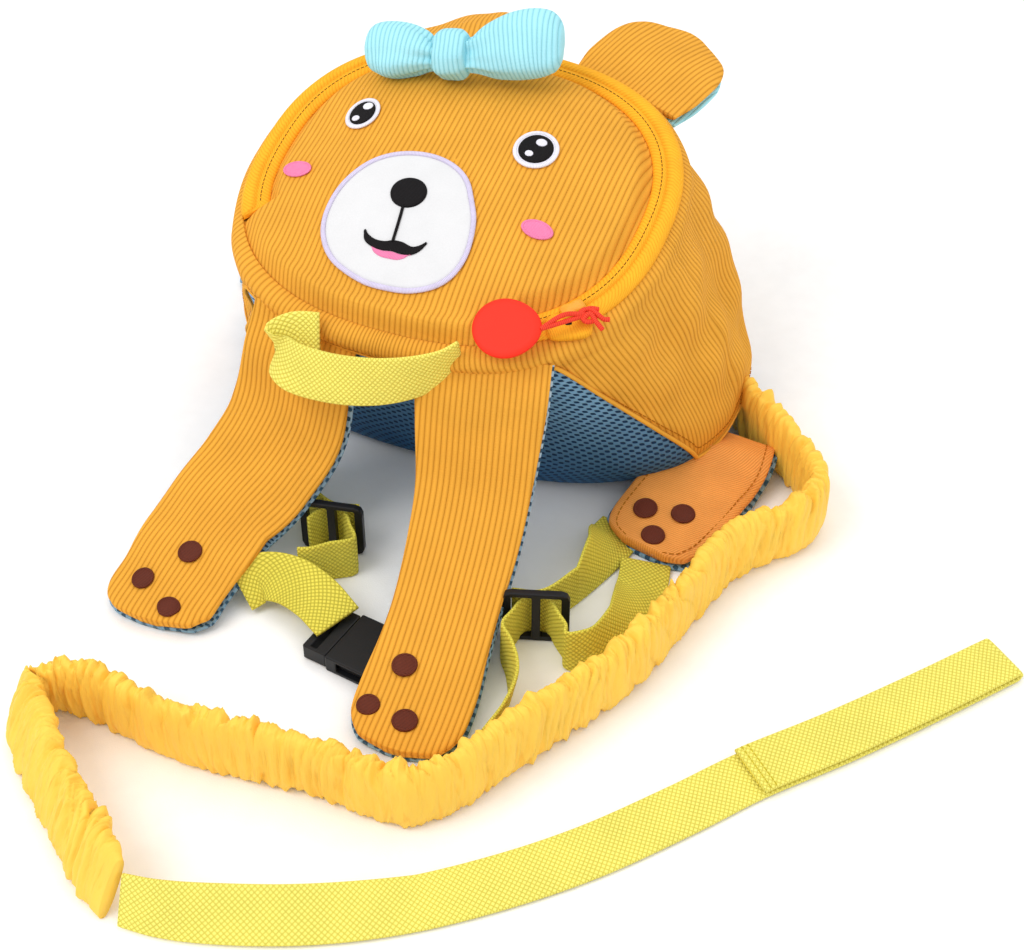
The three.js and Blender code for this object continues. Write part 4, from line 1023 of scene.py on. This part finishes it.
class HARNESS_OT_features(bpy.types.Operator):
    """Sews the muzzle, nose, smile, eyes and cheeks on the face"""
    bl_idname = "harness.features"
    bl_label = "Face features"

    def execute(self, context):
        self.muzzle()
        outline_patch("nose_thread", NOSE, oval(18, 17.6), ON_MUZZLE, 0.9, "black", ("nose",))
        line, _ = along_curve([on_face(a, b, ON_MUZZLE + 0.4) for a, b in NOSE_LINE], 40)
        rings, cloth = strip_rings(line, (1, 0.2, 0), 0.75, 0.6, 12, 1.0)
        loft("nose_line", rings, cloth, FINISHES["black"])
        self.smile()
        for name, place, wide, tall in EYES:
            self.eye(name, place, wide, tall)
        for name, place in CHEEKS:
            thread, rim, node = (f"cheek_thread_{name}", f"cheek_rim_{name}", f"cheek_{name}")
            outline_patch(thread, place, CHEEK, PATCH_LIFT, 0.8, "pink", (node,), 48)
            ring_band(rim, place, CHEEK, PATCH_LIFT + 0.4, 0.7, 0.6, "pink", 64)
        return {"FINISHED"}

    def muzzle(self):
        rim = np.array(MUZZLE_RIM) - MUZZLE
        turn = np.arctan2(rim[:, 1], rim[:, 0]) % TURN
        order = np.argsort(turn)
        turn, size = turn[order], np.hypot(rim[:, 0], rim[:, 1])[order]
        turn = np.concatenate([turn - TURN, turn, turn + TURN])
        size = np.tile(size, 3)

        def outline(phi):
            near = np.linspace(-0.16, 0.16, 9)
            radius = sum(np.interp(phi + step, turn, size) for step in near) / len(near)
            return radius * np.cos(phi), radius * np.sin(phi)

        node = "muzzle_patch"
        outline_patch("muzzle_felt", MUZZLE, outline, PATCH_LIFT, 1.0, "felt", (node,), 128)
        ring_band("muzzle_border", MUZZLE, outline, PATCH_LIFT + 0.7, 1.3, 0.9, "lilac", 220)

    def eye(self, name, place, wide, tall):
        node = f"eye_{name}"
        whole, pupil = oval(wide, tall), oval(wide * PUPIL, tall * PUPIL)
        outline_patch(f"eye_white_{name}", place, whole, PATCH_LIFT, 0.8, "white", (node,))
        ring_band(f"eye_rim_{name}", place, whole, PATCH_LIFT + 0.5, 1.1, 0.8, "white", 96)
        outline_patch(f"eye_black_{name}", place, pupil, PATCH_LIFT + 0.8, 0.6, "black")
        for number, (du, dv, width, height) in enumerate(EYE_GLINTS):
            spot, spot_oval = (place[0] + du, place[1] + dv), oval(width, height)
            glint = f"eye_glint_{name}_{number + 1}"
            outline_patch(glint, spot, spot_oval, PATCH_LIFT + 1.2, 0.6, "white", sides=32)

    def smile(self):
        for name, upper, lower, lift, finish, slot in (
            ("mouth_tongue", SMILE_LOW[2:7], TONGUE_LOW, ON_MUZZLE, "pink", "pink_thread"),
            ("mouth_thread", SMILE_TOP, SMILE_LOW, ON_MUZZLE + 0.25, "black", "dark_thread"),
        ):
            edges = [along_curve([(a, b, 0) for a, b in edge], 48)[0][:, :2] for edge in (upper, lower)]
            shares = (np.cos(np.linspace(0, math.pi, 9)) + 1) / 2
            rows = []
            for bulge, order in ((0.55, shares), (-0.5, shares[::-1][1:-1])):
                for t in order:
                    flat = edges[0] * t + edges[1] * (1 - t)
                    rows.append(on_face(flat[:, 0], flat[:, 1], lift + bulge * math.sin(math.pi * t) ** 0.5))
            rings = np.stack(rows, axis=1)
            cloth = np.zeros((len(rings), rings.shape[1] + 1, 2))
            cloth[:, :, 1] = edges[0][:, :1]
            loft(name, rings, cloth, FINISHES[finish])


# Ears and bow

EARS = (
    ("left", (52, 75, 153), (0.87, -0.46, -0.14), (0.28, 0.95, 0.04)),
    ("right", (-48, 74, 147), (0.86, 0.42, 0.24), (-0.2, 0.96, -0.12)),
)
EAR = {
    "along": [0.0, 0.25, 0.55, 0.8, 0.94, 1.0],
    "wide": [0.92, 1.0, 0.98, 0.8, 0.5, 0.22],
    "curl": [0.0, 0.5, 1.0, 0.8, 0.5, 0.3],
}
EAR_LENGTH, EAR_HALF, EAR_CURL = 60, 35, 5

BOW = {
    "along": [0.10, 0.2, 0.36, 0.58, 0.78, 0.92, 0.985, 1.0],
    "high": [0.46, 0.52, 0.80, 1.0, 1.02, 0.86, 0.55, 0.2],
    "thick": [0.5, 0.6, 0.95, 1.1, 1.0, 0.8, 0.5, 0.15],
    "rise": [0.0, 0.0, 0.04, 0.09, 0.12, 0.12, 0.12, 0.12],
}
BOW_PLACE = (-24.0, 56.0, 14.0)
BOW_LOOPS = ((-1, "right", 0.68, 47), (1, "left", 0.85, 56))
BOW_HALF_HEIGHT, BOW_HALF_THICK, BOW_RISE = 20, 10, 40


class HARNESS_OT_ears(bpy.types.Operator):
    """Sews the two ears, mustard outside and aqua inside"""
    bl_idname = "harness.ears"
    bl_label = "Ears"

    def execute(self, context):
        place = np.linspace(0, 5, 60)
        along, wide, curl = (from_table(EAR[key], place) for key in ("along", "wide", "curl"))
        for name, root, across, forward in EARS:
            across, forward = np.array(across), np.array(forward)
            upward = unit(np.cross(across, forward))
            points = (np.array(root) + along[:, None] * EAR_LENGTH * forward
                      + curl[:, None] * EAR_CURL * upward)
            for piece, lift, thick, finish, slot, node in (
                ("ear_cloth", -2.7, 2.7, "rib", "corduroy", "ear"),
                ("ear_inside", 2.8, 2.5, "aqua", "aqua_rib", "ear_lining"),
            ):
                rings, cloth = strip_rings(points, across, wide * EAR_HALF, thick, 44, 0.7, lift)
                dent = ripples(cloth[:, :-1, 0], cloth[:, :-1, 1], 11, 5, 22, 50)
                rings = rings + dent[..., None] * 0.5 * upward
                if finish == "aqua":
                    cloth = cloth[..., ::-1]
                loft(f"{piece}_{name}", rings, cloth, FINISHES[finish], (f"{node}_{name}",))
        return {"FINISHED"}


class HARNESS_OT_bow(bpy.types.Operator):
    """Sews the stuffed bow on the forehead"""
    bl_idname = "harness.bow"
    bl_label = "Bow"

    def execute(self, context):
        centre = on_face(*BOW_PLACE)
        aside = unit(np.array([math.cos(0.18), math.sin(0.18), 0.16]))
        upright = np.array([0, math.cos(0.75), math.sin(0.75)])
        for side, name, tall, far in BOW_LOOPS:
            self.loop(centre, aside, upright, side, name, tall, far)
        share = np.linspace(-1, 1, 40)
        points = centre + (share * 8.3)[:, None] * aside + unit(np.cross(aside, upright)) * 0.8
        half = 10 * (1.25 - 0.35 * share ** 4)
        rings, cloth = strip_rings(points, upright, half, 10.4 * (1.02 - 0.25 * share ** 4), 48, 0.85)
        phi = angles_round(48, 0.5)
        folds = 0.5 * np.cos(3 * phi[None] + 1.2 * share[:, None]) + 0.3 * np.cos(7 * phi[None])
        rings = rings + unit(rings - points[:, None]) * folds[..., None]
        loft("bow_knot_cloth", rings, cloth, FINISHES["aqua"], ("bow_knot",))
        return {"FINISHED"}

    def loop(self, centre, aside, upright, side, name, tall, far):
        """A stuffed loop, with creases that fan out from the knot."""
        place = np.linspace(0, 7, 84)
        along, high, thick, rise = (from_table(BOW[key], place) for key in ("along", "high", "thick", "rise"))
        reach = along * far
        points = centre + side * reach[:, None] * aside + (rise * BOW_RISE)[:, None] * upright
        half = high * BOW_HALF_HEIGHT * tall
        rings, cloth = strip_rings(points, upright, half, thick * BOW_HALF_THICK, 56, 0.85)
        phi = angles_round(56, 0.5)
        pinch = np.exp(-reach / 16)[:, None]
        creases = pinch * (1.7 * np.cos(5 * phi + 0.6) + 1.1 * np.cos(9 * phi + 1.9))[None]
        soft = 0.7 * ripples(reach[:, None], 20 * np.cos(phi)[None], 21 + side, 5, 18, 40)
        rings = rings + unit(rings - points[:, None]) * (creases + soft * (1 - pinch))[..., None]
        loft(f"bow_cloth_{name}", rings, cloth, FINISHES["aqua"], (f"bow_loop_{name}",))


# Arms and hip tabs

ARM = {
    "forward": [-0.07, -0.01, 0.03, 0.12, 0.27, 0.44, 0.62, 0.78, 0.90, 0.97, 1.0],
    "height": [1.14, 1.0, 0.84, 0.56, 0.36, 0.21, 0.14, 0.08, 0.03, 0.01, 0.0],
}
ARM_SHAPES = {
    "left": {"aside": [6, 6, 5.5, 4.5, 2.5, 0, 0, 0, 0, 0, 0],
             "wide": [1.14, 1.12, 1.08, 0.99, 0.94, 0.90, 0.90, 0.96, 0.92, 0.7, 0.4]},
    "right": {"aside": [11, 11, 10, 8, 1, -7, -7, -5, -3, -1, 0],
              "wide": [1.02, 1.04, 1.06, 1.12, 1.13, 1.10, 1.08, 1.02, 1.0, 0.78, 0.45]},
}
# Each arm: its root, heading and across direction in degrees, sideways bend, length, and its pads as
# a place along the arm, a share of its half width and a diameter
ARMS = (
    ("left", (47, -113), 10, 13, 5, 146, ((6.6, -0.35, 12), (7.8, -0.7, 11), (8.0, 0.0, 12))),
    ("right", (-54, -111), -8, -3, 4, 120, ((6.35, 0.05, 12), (7.55, -0.42, 11), (8.3, 0.3, 12))),
)
ARM_TOP, ARM_WIDTH, ARM_ROOT_HEIGHT = 6, 57, 97
LEG = {
    "out": [0.0, 0.0, -0.05, -0.11, -0.16, -0.18, -0.19],
    "along": [0.0, 0.18, 0.40, 0.63, 0.82, 0.93, 0.98],
    "up": [0.16, 0.15, 0.10, 0.05, 0.02, 0.005, 0.0],
    "turn": [74, 54, 32, 17, 12, 12, 12],
    "wide": [0.92, 0.98, 1.02, 1.04, 1.0, 0.84, 0.5],
}
LEGS = (("left", 1, 147, -6, 1, 88), ("right", -1, 150, 30, 0.2, 76))
LEG_PADS = ((3.65, -0.42, 12), (3.2, 0.22, 12), (4.6, 0.05, 12))
LEG_TOP, LEG_WIDTH = 7, 52
LIMB_SQUARE = 0.55
LINING = 3
LIMB_FLOOR = LINING + GAP + 0.3
PAD_SECTION = (
    (0.12, 1.0), (0.5, 1.0), (0.74, 0.85), (0.8, 0.7), (0.86, 1.25), (0.93, 1.35), (1.0, 0.9), (1.02, 0.1),
    (0.9, -0.8), (0.12, -0.8),
)


def limb(name, points, across, half, top, finish, pads, last_place):
    """A padded limb: its cloth top, its mesh underside, stitched edges on satin limbs, and its paw pads."""
    side, out = frames_along(points, across)
    root = 0.35 + 0.65 * smooth(np.linspace(0, 1, len(points)), 0.02, 0.2)
    rings, cloth = strip_rings(points, across, half, top / 2 * root, 56, LIMB_SQUARE, (top / 2 * root)[:, None])
    reach = cloth[:, 0, 1]
    soft = 0.55 * ripples(cloth[:, :-1, 0], cloth[:, :-1, 1], len(name) + 31, 6, 26, 60)
    rings = rings + out[:, None] * soft[..., None]
    loft(f"{name}_cloth", rings, cloth, FINISHES[finish], (name,))
    rim = half + (2.2 if finish == "satin" else 0.6)
    rings, cloth = strip_rings(points, across, rim, LINING / 2, 40, LIMB_SQUARE, -LINING / 2 - GAP)
    loft(f"{name}_mesh", rings, cloth, FINISHES["mesh_lining"], (f"{name}_lining",))
    exponent = 2 / LIMB_SQUARE
    if finish == "satin":
        inset = half - 4.5
        rise = root * (top / 2 + top / 2 * (1 - (inset / half) ** exponent) ** (1 / exponent)) + 0.4
        seams = [points + side * (edge * inset)[:, None] + out * rise[:, None] for edge in (-1, 1)]
        stitch(f"{name}_stitches", [seam[4:-6] for seam in seams], FINISHES["thread"], 3.4, 2.2, 0.28)
    rows = np.arange(len(points))
    phi = angles_round(40)
    for number, (place, aside, size) in enumerate(pads):
        at = place / last_place * (len(points) - 1)
        centre = np.interp(at, rows, reach)
        half_here = np.interp(at, rows, half)

        def surface(across_mm, along_mm, lift):
            """A point over the limb's top, from the pad's middle."""
            row = np.interp(centre + along_mm, reach, rows)
            low = np.clip(np.floor(row).astype(int), 0, len(points) - 2)
            f = (row - low)[..., None]
            base, way, up = (values[low] * (1 - f) + values[low + 1] * f for values in (points, side, out))
            width = half[low] * (1 - f[..., 0]) + half[low + 1] * f[..., 0]
            share = np.clip((aside * half_here + across_mm) / width, -0.985, 0.985)
            rise = top / 2 + top / 2 * (1 - np.abs(share) ** exponent) ** (1 / exponent) + lift
            return base + way * (share * width)[..., None] + up * rise[..., None]

        rings, cloth = [], []
        for share, rise in PAD_SECTION:
            a, b = share * size / 2 * np.cos(phi), share * size / 2 * np.sin(phi)
            rings.append(surface(a, b, 0.35 + 0.75 * rise))
            cloth.append(np.stack([a, b], axis=-1))
        piece, node = f"{name}_paw_{number + 1}", f"pad_{name}_{number + 1}"
        loft(piece, np.array(rings), closed(np.array(cloth)), FINISHES["brown"], (node,))


class HARNESS_OT_arms(bpy.types.Operator):
    """Sews the two padded arm straps with their paw pads"""
    bl_idname = "harness.arms"
    bl_label = "Arms"

    def execute(self, context):
        last = len(ARM["forward"]) - 1
        place = np.linspace(0, last, 170)
        forward, height = (from_table(ARM[key], place) for key in ("forward", "height"))
        for name, root, heading, turn, bend, reach, pads in ARMS:
            way = math.radians(heading)
            aside = from_table(ARM_SHAPES[name]["aside"], place)
            points = np.stack([
                root[0] + math.sin(way) * forward * reach + bend * np.sin(np.pi * forward) + aside,
                root[1] - math.cos(way) * forward * reach,
                LIMB_FLOOR + height * (ARM_ROOT_HEIGHT - LIMB_FLOOR),
            ], axis=1)
            half = from_table(ARM_SHAPES[name]["wide"], place) * ARM_WIDTH / 2
            tip = np.sqrt(np.clip(1 - smooth(place, 9.2, 10.0) * 0.75, 0, 1))
            across = (math.cos(math.radians(turn)), math.sin(math.radians(turn)), 0)
            limb(f"arm_{name}", points, across, half * tip, ARM_TOP, "rib", pads, last)
        return {"FINISHED"}


class HARNESS_OT_tabs(bpy.types.Operator):
    """Sews the two satin hip tabs with their paw pads"""
    bl_idname = "harness.tabs"
    bl_label = "Hip tabs"

    def execute(self, context):
        last = len(LEG["out"]) - 1
        place = np.linspace(0, last, 90)
        keys = ("out", "along", "up", "turn", "wide")
        outer, along, up, turn, wide = (from_table(LEG[key], place) for key in keys)
        turn = np.radians(turn)
        for name, side, corner_x, corner_y, rise, long in LEGS:
            points = np.stack([
                side * (corner_x + outer * long), corner_y - side * along * long, LIMB_FLOOR + rise * up * long,
            ], axis=1)
            across = np.stack([side * np.cos(turn), side * np.sin(turn), 0 * turn], axis=1)
            half = wide * LEG_WIDTH / 2 * (1 if side > 0 else 0.55 + 0.45 * smooth(place, 0, 2))
            limb(f"leg_{name}", points, across, half, LEG_TOP, "satin", LEG_PADS, last)
        return {"FINISHED"}


# Webbing, adjusters and buckle

ADJUSTERS = {"left": ((102, -163), 19), "right": ((-14, -146), 12)}
THREADED = WEB_THICK + GAP + 1


def from_adjuster(name, x, y):
    """A floor place from its offset to an adjuster's middle."""
    (at_x, at_y), turn = ADJUSTERS[name]
    angle = math.radians(turn)
    return (at_x + x * math.cos(angle) - y * math.sin(angle), at_y + x * math.sin(angle) + y * math.cos(angle))


def threaded(name):
    """The webbing's way through an adjuster, over its middle bar."""
    passed = (
        (-15, -15), (-10.5, -6), (-7.5, 0), (-3.6, THREADED), (3.6, THREADED), (7.5, 0), (10.5, -6), (15, -15),
    )
    return [from_adjuster(name, x, y) for x, y in passed]


HANDLE = [
    (-28, -119.5, 110.5), (-40, -122, 109), (-46, -129, 106), (-38, -135, 103.5), (-18, -136, 102.5),
    (5, -133, 104.5), (22, -126, 107), (34, -117, 110), (40, -108, 113),
]
CHEST = [
    (-38.3, -197.7, 11.0), (-30.4, -189.4, 14.0), (-16.5, -188.5, 16.5), (0.4, -193.1, 16.0),
    (16.0, -200.2, 12.0),
]

# Each strap's route on the floor, and how far it leans over at shares of its length, in degrees
STRAPS = {
    "strap_long_left": (
        [(102, -240), (106, -224), (106, -206), (99, -191), *threaded("left"),
         (122, -176), (136, -172), (147, -154), (151, -132), (150, -112), (146, -94)],
        ((0.0, -20), (0.2, -8), (0.3, 0), (0.55, 0), (0.72, 35), (0.9, 80), (1.0, 84)),
    ),
    "strap_short_left": (
        [from_adjuster("left", -12, 7.5), from_adjuster("left", 2, 7.5), (111, -136), (119, -114), (124, -96),
         (127, -80)],
        ((0.0, 0), (0.4, 0), (0.65, 30), (0.9, 80), (1.0, 84)),
    ),
    "strap_long_right": (
        [*threaded("right")[1:], (-6, -166), (-12, -172), (-18, -175)],
        ((0.0, 0), (1.0, 0)),
    ),
    "strap_short_right": (
        [from_adjuster("right", 12, 7.5), from_adjuster("right", -2, 7.5), (-44, -124), (-62, -106),
         (-74, -100)],
        ((0.0, 0), (0.4, 0), (1.0, 12)),
    ),
}


class HARNESS_OT_straps(bpy.types.Operator):
    """Makes the grab handle and the harness webbing"""
    bl_idname = "harness.straps"
    bl_label = "Straps"

    def execute(self, context):
        turning = ((-0.1, 0.45, 0.89), (0.15, -0.25, 0.95))
        tape("grab_handle", HANDLE, turning, 2, 2.2, FINISHES["web_painted_light"], ("handle",))
        for name, (route, angles) in STRAPS.items():
            edge_tape(f"{name}_webbing", route, angles, (name,))
        turning = ((0.1, 0.8, 0.6), (0.1, 0.98, 0.18))
        tape("chest_webbing", CHEST, turning, 1, WEB_THICK, FINISHES["web_painted_shade"], ("chest_strap",))
        return {"FINISHED"}


class HARNESS_OT_fittings(bpy.types.Operator):
    """Finishes the adjusters and the chest buckle, from their solids' own meshes with rounded edges"""
    bl_idname = "harness.fittings"
    bl_label = "Fittings"

    def execute(self, context):
        for node in ("adjuster_left", "adjuster_right", "buckle_plug", "buckle_socket"):
            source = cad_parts[node]
            copied = source.data.copy()
            copied.name = f"{node}_moulded"
            copied.transform(source.matrix_world)
            copied.materials.clear()
            copied.materials.append(FINISHES["black_plastic"])
            piece = bpy.data.objects.new(copied.name, copied)
            context.scene.collection.objects.link(piece)
            weld = piece.modifiers.new("Weld", "WELD")
            weld.merge_threshold = 0.00005
            bevel = piece.modifiers.new("Moulded edges", "BEVEL")
            bevel.width = EDGE_RADIUS * MM
            bevel.segments = 2
            bevel.limit_method = "ANGLE"
            claim(piece, (node,))
        return {"FINISHED"}


# Leash

SLEEVE_LEAN = 0.45
SLEEVE_HALF_WIDTH = 20
SLEEVE_HALF_THICK = 7.5
SLEEVE_ROUTE = [
    (140, 24), (153, 14), (166, 4), (179, -7), (192, -20), (202, -37), (199, -56), (185, -72), (173, -91),
    (167, -117), (162, -140), (157, -164), (149, -188), (138, -210), (127, -231), (117, -252), (107, -272),
    (94, -285), (76, -288), (56, -287), (37, -288), (19, -290), (0, -292), (-20, -293), (-41, -291),
    (-62, -287), (-81, -288), (-93, -297), (-91, -312), (-72, -331), (-46, -352), (-18, -372), (-3, -381),
]
LEASH_ROUTE = [
    (5.3, -381.6), (20.1, -380.7), (41.0, -376.0), (79.4, -361.2), (114.9, -340.4), (148.2, -313.5),
    (180.4, -281.2), (211.5, -241.8), (232.0, -213.6), (261.0, -179.3), (292.2, -139.3), (320.1, -101.6),
]
LOOP_START = 0.672
LOOP_LIFT = 3.6
WEBBING_ANGLES = ((0.0, 24), (0.1, 45), (0.3, 80), (1.0, 87))

# The sleeve's gathers: spacing in millimetres and strength
GATHERS = ((15.0, 0.9), (10.0, 0.6), (6.1, 0.5), (4.2, 0.28))


class HARNESS_OT_leash(bpy.types.Operator):
    """Makes the leash: its gathered sleeve and its webbing hand loop"""
    bl_idname = "harness.leash"
    bl_label = "Leash"

    def execute(self, context):
        self.sleeve(sizes_of(context).gather_depth / MM)
        self.webbing()
        return {"FINISHED"}

    def webbing(self):
        """The flat webbing, folded back on itself and sewn down as a hand loop."""
        centres, across, share = floor_band(LEASH_ROUTE, LEASH_WIDTH, LEASH_THICK, WEBBING_ANGLES)
        ahead = unit(centres[-1] - centres[-2])
        half_lift = LOOP_LIFT / 2
        fold = [centres[-1] + ahead * half_lift * math.sin(t) + np.array([0, 0, half_lift * (1 - math.cos(t))])
                for t in np.linspace(0, math.pi, 9)[1:-1]]
        looped = share > LOOP_START
        back = centres[looped][::-1] + np.array([0, 0, LOOP_LIFT])
        side = across[looped][::-1]
        path = np.vstack([centres, fold, back])
        ways = np.vstack([across, np.repeat(across[-1:], len(fold), axis=0), side])
        rings, cloth = strip_rings(path, ways, LEASH_WIDTH / 2, LEASH_THICK / 2, WEB_SIDES, WEB_SQUARE)
        loft("leash_tape", rings, cloth, FINISHES["web_painted_light"], ("leash_webbing",))
        seam = back[-5:-2:2] + np.array([0, 0, 1.3])
        rows = [np.stack([point + side[-3] * reach for reach in np.linspace(-11, 11, 24)]) for point in seam]
        stitch("loop_stitches", rows, FINISHES["thread_yellow"], 2.6, 1.9, 0.28)

    def sleeve(self, depth):
        rows, sides = 1700, 48
        path, length = along_curve([(x, y, 0) for x, y in SLEEVE_ROUTE], rows)
        s = np.linspace(0, length, rows)
        share = s / length
        wave = share * 40
        swell = 0.5 - 0.5 * np.cos(TURN * wave)
        uneven = 0.5 + 0.5 * np.sin(wave * 2.4) * np.cos(wave * 0.9)
        end = np.clip(np.minimum(s, length - s) / 14, 0, 1)
        half = SLEEVE_HALF_WIDTH * (0.84 + 0.05 * swell + 0.07 * uneven) * (0.94 + 0.06 * end)
        thick = SLEEVE_HALF_THICK * (0.66 + 0.1 * swell + 0.12 * uneven) * (0.55 + 0.45 * end)
        relief = depth * self.gathers(s[:, None], angles_round(sides, 0.5)) * end[:, None]
        way = unit(np.gradient(path, axis=0))
        lean = SLEEVE_LEAN * smooth(share, 0.74, 0.86)
        aside = lean[:, None] * np.stack([-way[:, 1], way[:, 0], 0 * lean], axis=1)
        path = path + aside * (half / np.hypot(1, lean))[:, None]
        rings, cloth = strip_rings(path, np.array([0, 0, 1]) + aside, half, thick, sides, 0.72)
        rings = rings + unit(rings - path[:, None]) * relief[..., None]
        rings[..., 2] -= rings[..., 2].min(axis=1)[:, None] - 0.3
        loft("leash_gathers", rings, cloth, FINISHES["sleeve"], ("leash_sleeve",))

    def gathers(self, along, phi):
        """Seeded folds round the sleeve, wide ones under narrow ones."""
        chance = np.random.default_rng(4)
        height, side = np.sin(phi)[None], np.cos(phi)[None]
        total = 0
        for number, (spacing, strength) in enumerate(GATHERS):
            bend = chance.uniform(0, TURN, 4)
            warp = (3.4 * np.sin(along / 21 + 1.6 * side + bend[0])
                    + 2.2 * np.sin(along / 9.5 + 2.4 * height + bend[1])
                    + 2.0 * np.sin(2 * phi[None] + along / 31 + bend[2]))
            strong = 0.55 + 0.45 * np.sin(along / (15 + 4 * number) + 1.5 * side + 1.2 * height + bend[3])
            crest = np.abs(np.sin(np.pi * (along + warp) / spacing))
            fold = crest ** 0.6 - 0.6 if number % 2 == 0 else 0.42 - crest ** 0.55 * 0.8
            total = total + strength * strong * fold
        return total * (0.75 + 0.45 * np.abs(side))


# Stage

# The camera's place in millimetres and its axes, and its focal length in pixels of the photograph
CAMERA_PLACE = (336.4, -744.1, 669.1)
CAMERA_AXES = ((0.9205, 0.3907, 0.0), (-0.2615, 0.6160, 0.7431), (0.2904, -0.6841, 0.6691))
FOCAL_PIXELS = 1911
PHOTO_WIDTH = 1024
SENSOR = 36

# Each lamp: its place and size in metres, and its power in watts
LAMPS = (
    ("key", (-0.9, -1.3, 2.1), 1.3, 22), ("fill", (1.7, -0.9, 1.3), 1.8, 5), ("top", (0.1, 0.6, 2.4), 2.0, 12),
)
LAMP_AIM = Vector((0.05, -0.08, 0.05))
SKY_STRENGTH = 0.82


class HARNESS_OT_stage(bpy.types.Operator):
    """Sets the camera, the soft studio light and the pale floor"""
    bl_idname = "harness.stage"
    bl_label = "Stage"

    def execute(self, context):
        scene = context.scene
        scene.view_settings.view_transform = "Standard"
        half = sizes_of(context).floor_size / 2
        mesh = bpy.data.meshes.new("studio_floor")
        corners = [(-half, -half, 0), (half, -half, 0), (half, half, 0), (-half, half, 0)]
        mesh.from_pydata(corners, [], [(0, 1, 2, 3)])
        mesh.materials.append(FINISHES["floor"])
        floor = bpy.data.objects.new("studio_floor", mesh)
        scene.collection.objects.link(floor)
        lens = bpy.data.cameras.new("camera")
        lens.sensor_fit = "HORIZONTAL"
        lens.sensor_width = SENSOR
        lens.lens = FOCAL_PIXELS / PHOTO_WIDTH * SENSOR
        lens.clip_start = 0.01
        lens.clip_end = 50
        camera = bpy.data.objects.new("camera", lens)
        axes = Matrix(CAMERA_AXES).transposed().to_4x4()
        camera.matrix_world = Matrix.Translation(Vector(CAMERA_PLACE) * MM) @ axes
        scene.collection.objects.link(camera)
        scene.camera = camera
        for name, place, size, watts in LAMPS:
            lamp = bpy.data.lights.new(name, "AREA")
            lamp.shape = "SQUARE"
            lamp.size = size
            lamp.energy = watts
            light = bpy.data.objects.new(name, lamp)
            turn = (LAMP_AIM - Vector(place)).to_track_quat("-Z", "Y")
            light.matrix_world = Matrix.Translation(place) @ turn.to_matrix().to_4x4()
            scene.collection.objects.link(light)
        world = bpy.data.worlds.new("studio")
        world.use_nodes = True
        scene.world = world
        tree = world.node_tree
        tree.nodes.clear()
        backdrop = (*sizes_of(context).floor_colour, 1.0)
        sky = add(tree, "ShaderNodeBackground", {"Color": backdrop, "Strength": SKY_STRENGTH})
        add(tree, "ShaderNodeOutputWorld", {"Surface": sky.outputs[0]})
        return {"FINISHED"}


STEPS = (
    HARNESS_OT_stage, HARNESS_OT_bag, HARNESS_OT_zip, HARNESS_OT_features, HARNESS_OT_ears, HARNESS_OT_bow,
    HARNESS_OT_arms, HARNESS_OT_tabs, HARNESS_OT_straps, HARNESS_OT_fittings, HARNESS_OT_leash,
)


class HARNESS_PT_panel(bpy.types.Panel):
    """Lists the backpack's pieces"""
    bl_idname = "HARNESS_PT_panel"
    bl_label = "Harness Backpack"
    bl_space_type = "VIEW_3D"
    bl_region_type = "UI"
    bl_category = "Backpack"

    def draw(self, context):
        sizes = sizes_of(context)
        for name in HarnessSizes.__annotations__:
            self.layout.prop(sizes, name)
        for step in STEPS:
            self.layout.operator(step.bl_idname)


CLASSES = (HarnessSizes, *STEPS, HARNESS_PT_panel)


def register():
    for made in CLASSES:
        bpy.utils.register_class(made)
    bpy.types.Scene.harness_sizes = bpy.props.PointerProperty(type=HarnessSizes)


def unregister():
    del bpy.types.Scene.harness_sizes
    for made in reversed(CLASSES):
        bpy.utils.unregister_class(made)


def main():
    register()
    make_finishes(sizes_of(bpy.context))
    for step in STEPS:
        group, name = step.bl_idname.split(".")
        getattr(getattr(bpy.ops, group), name)()


if __name__ == "__main__":
    main()
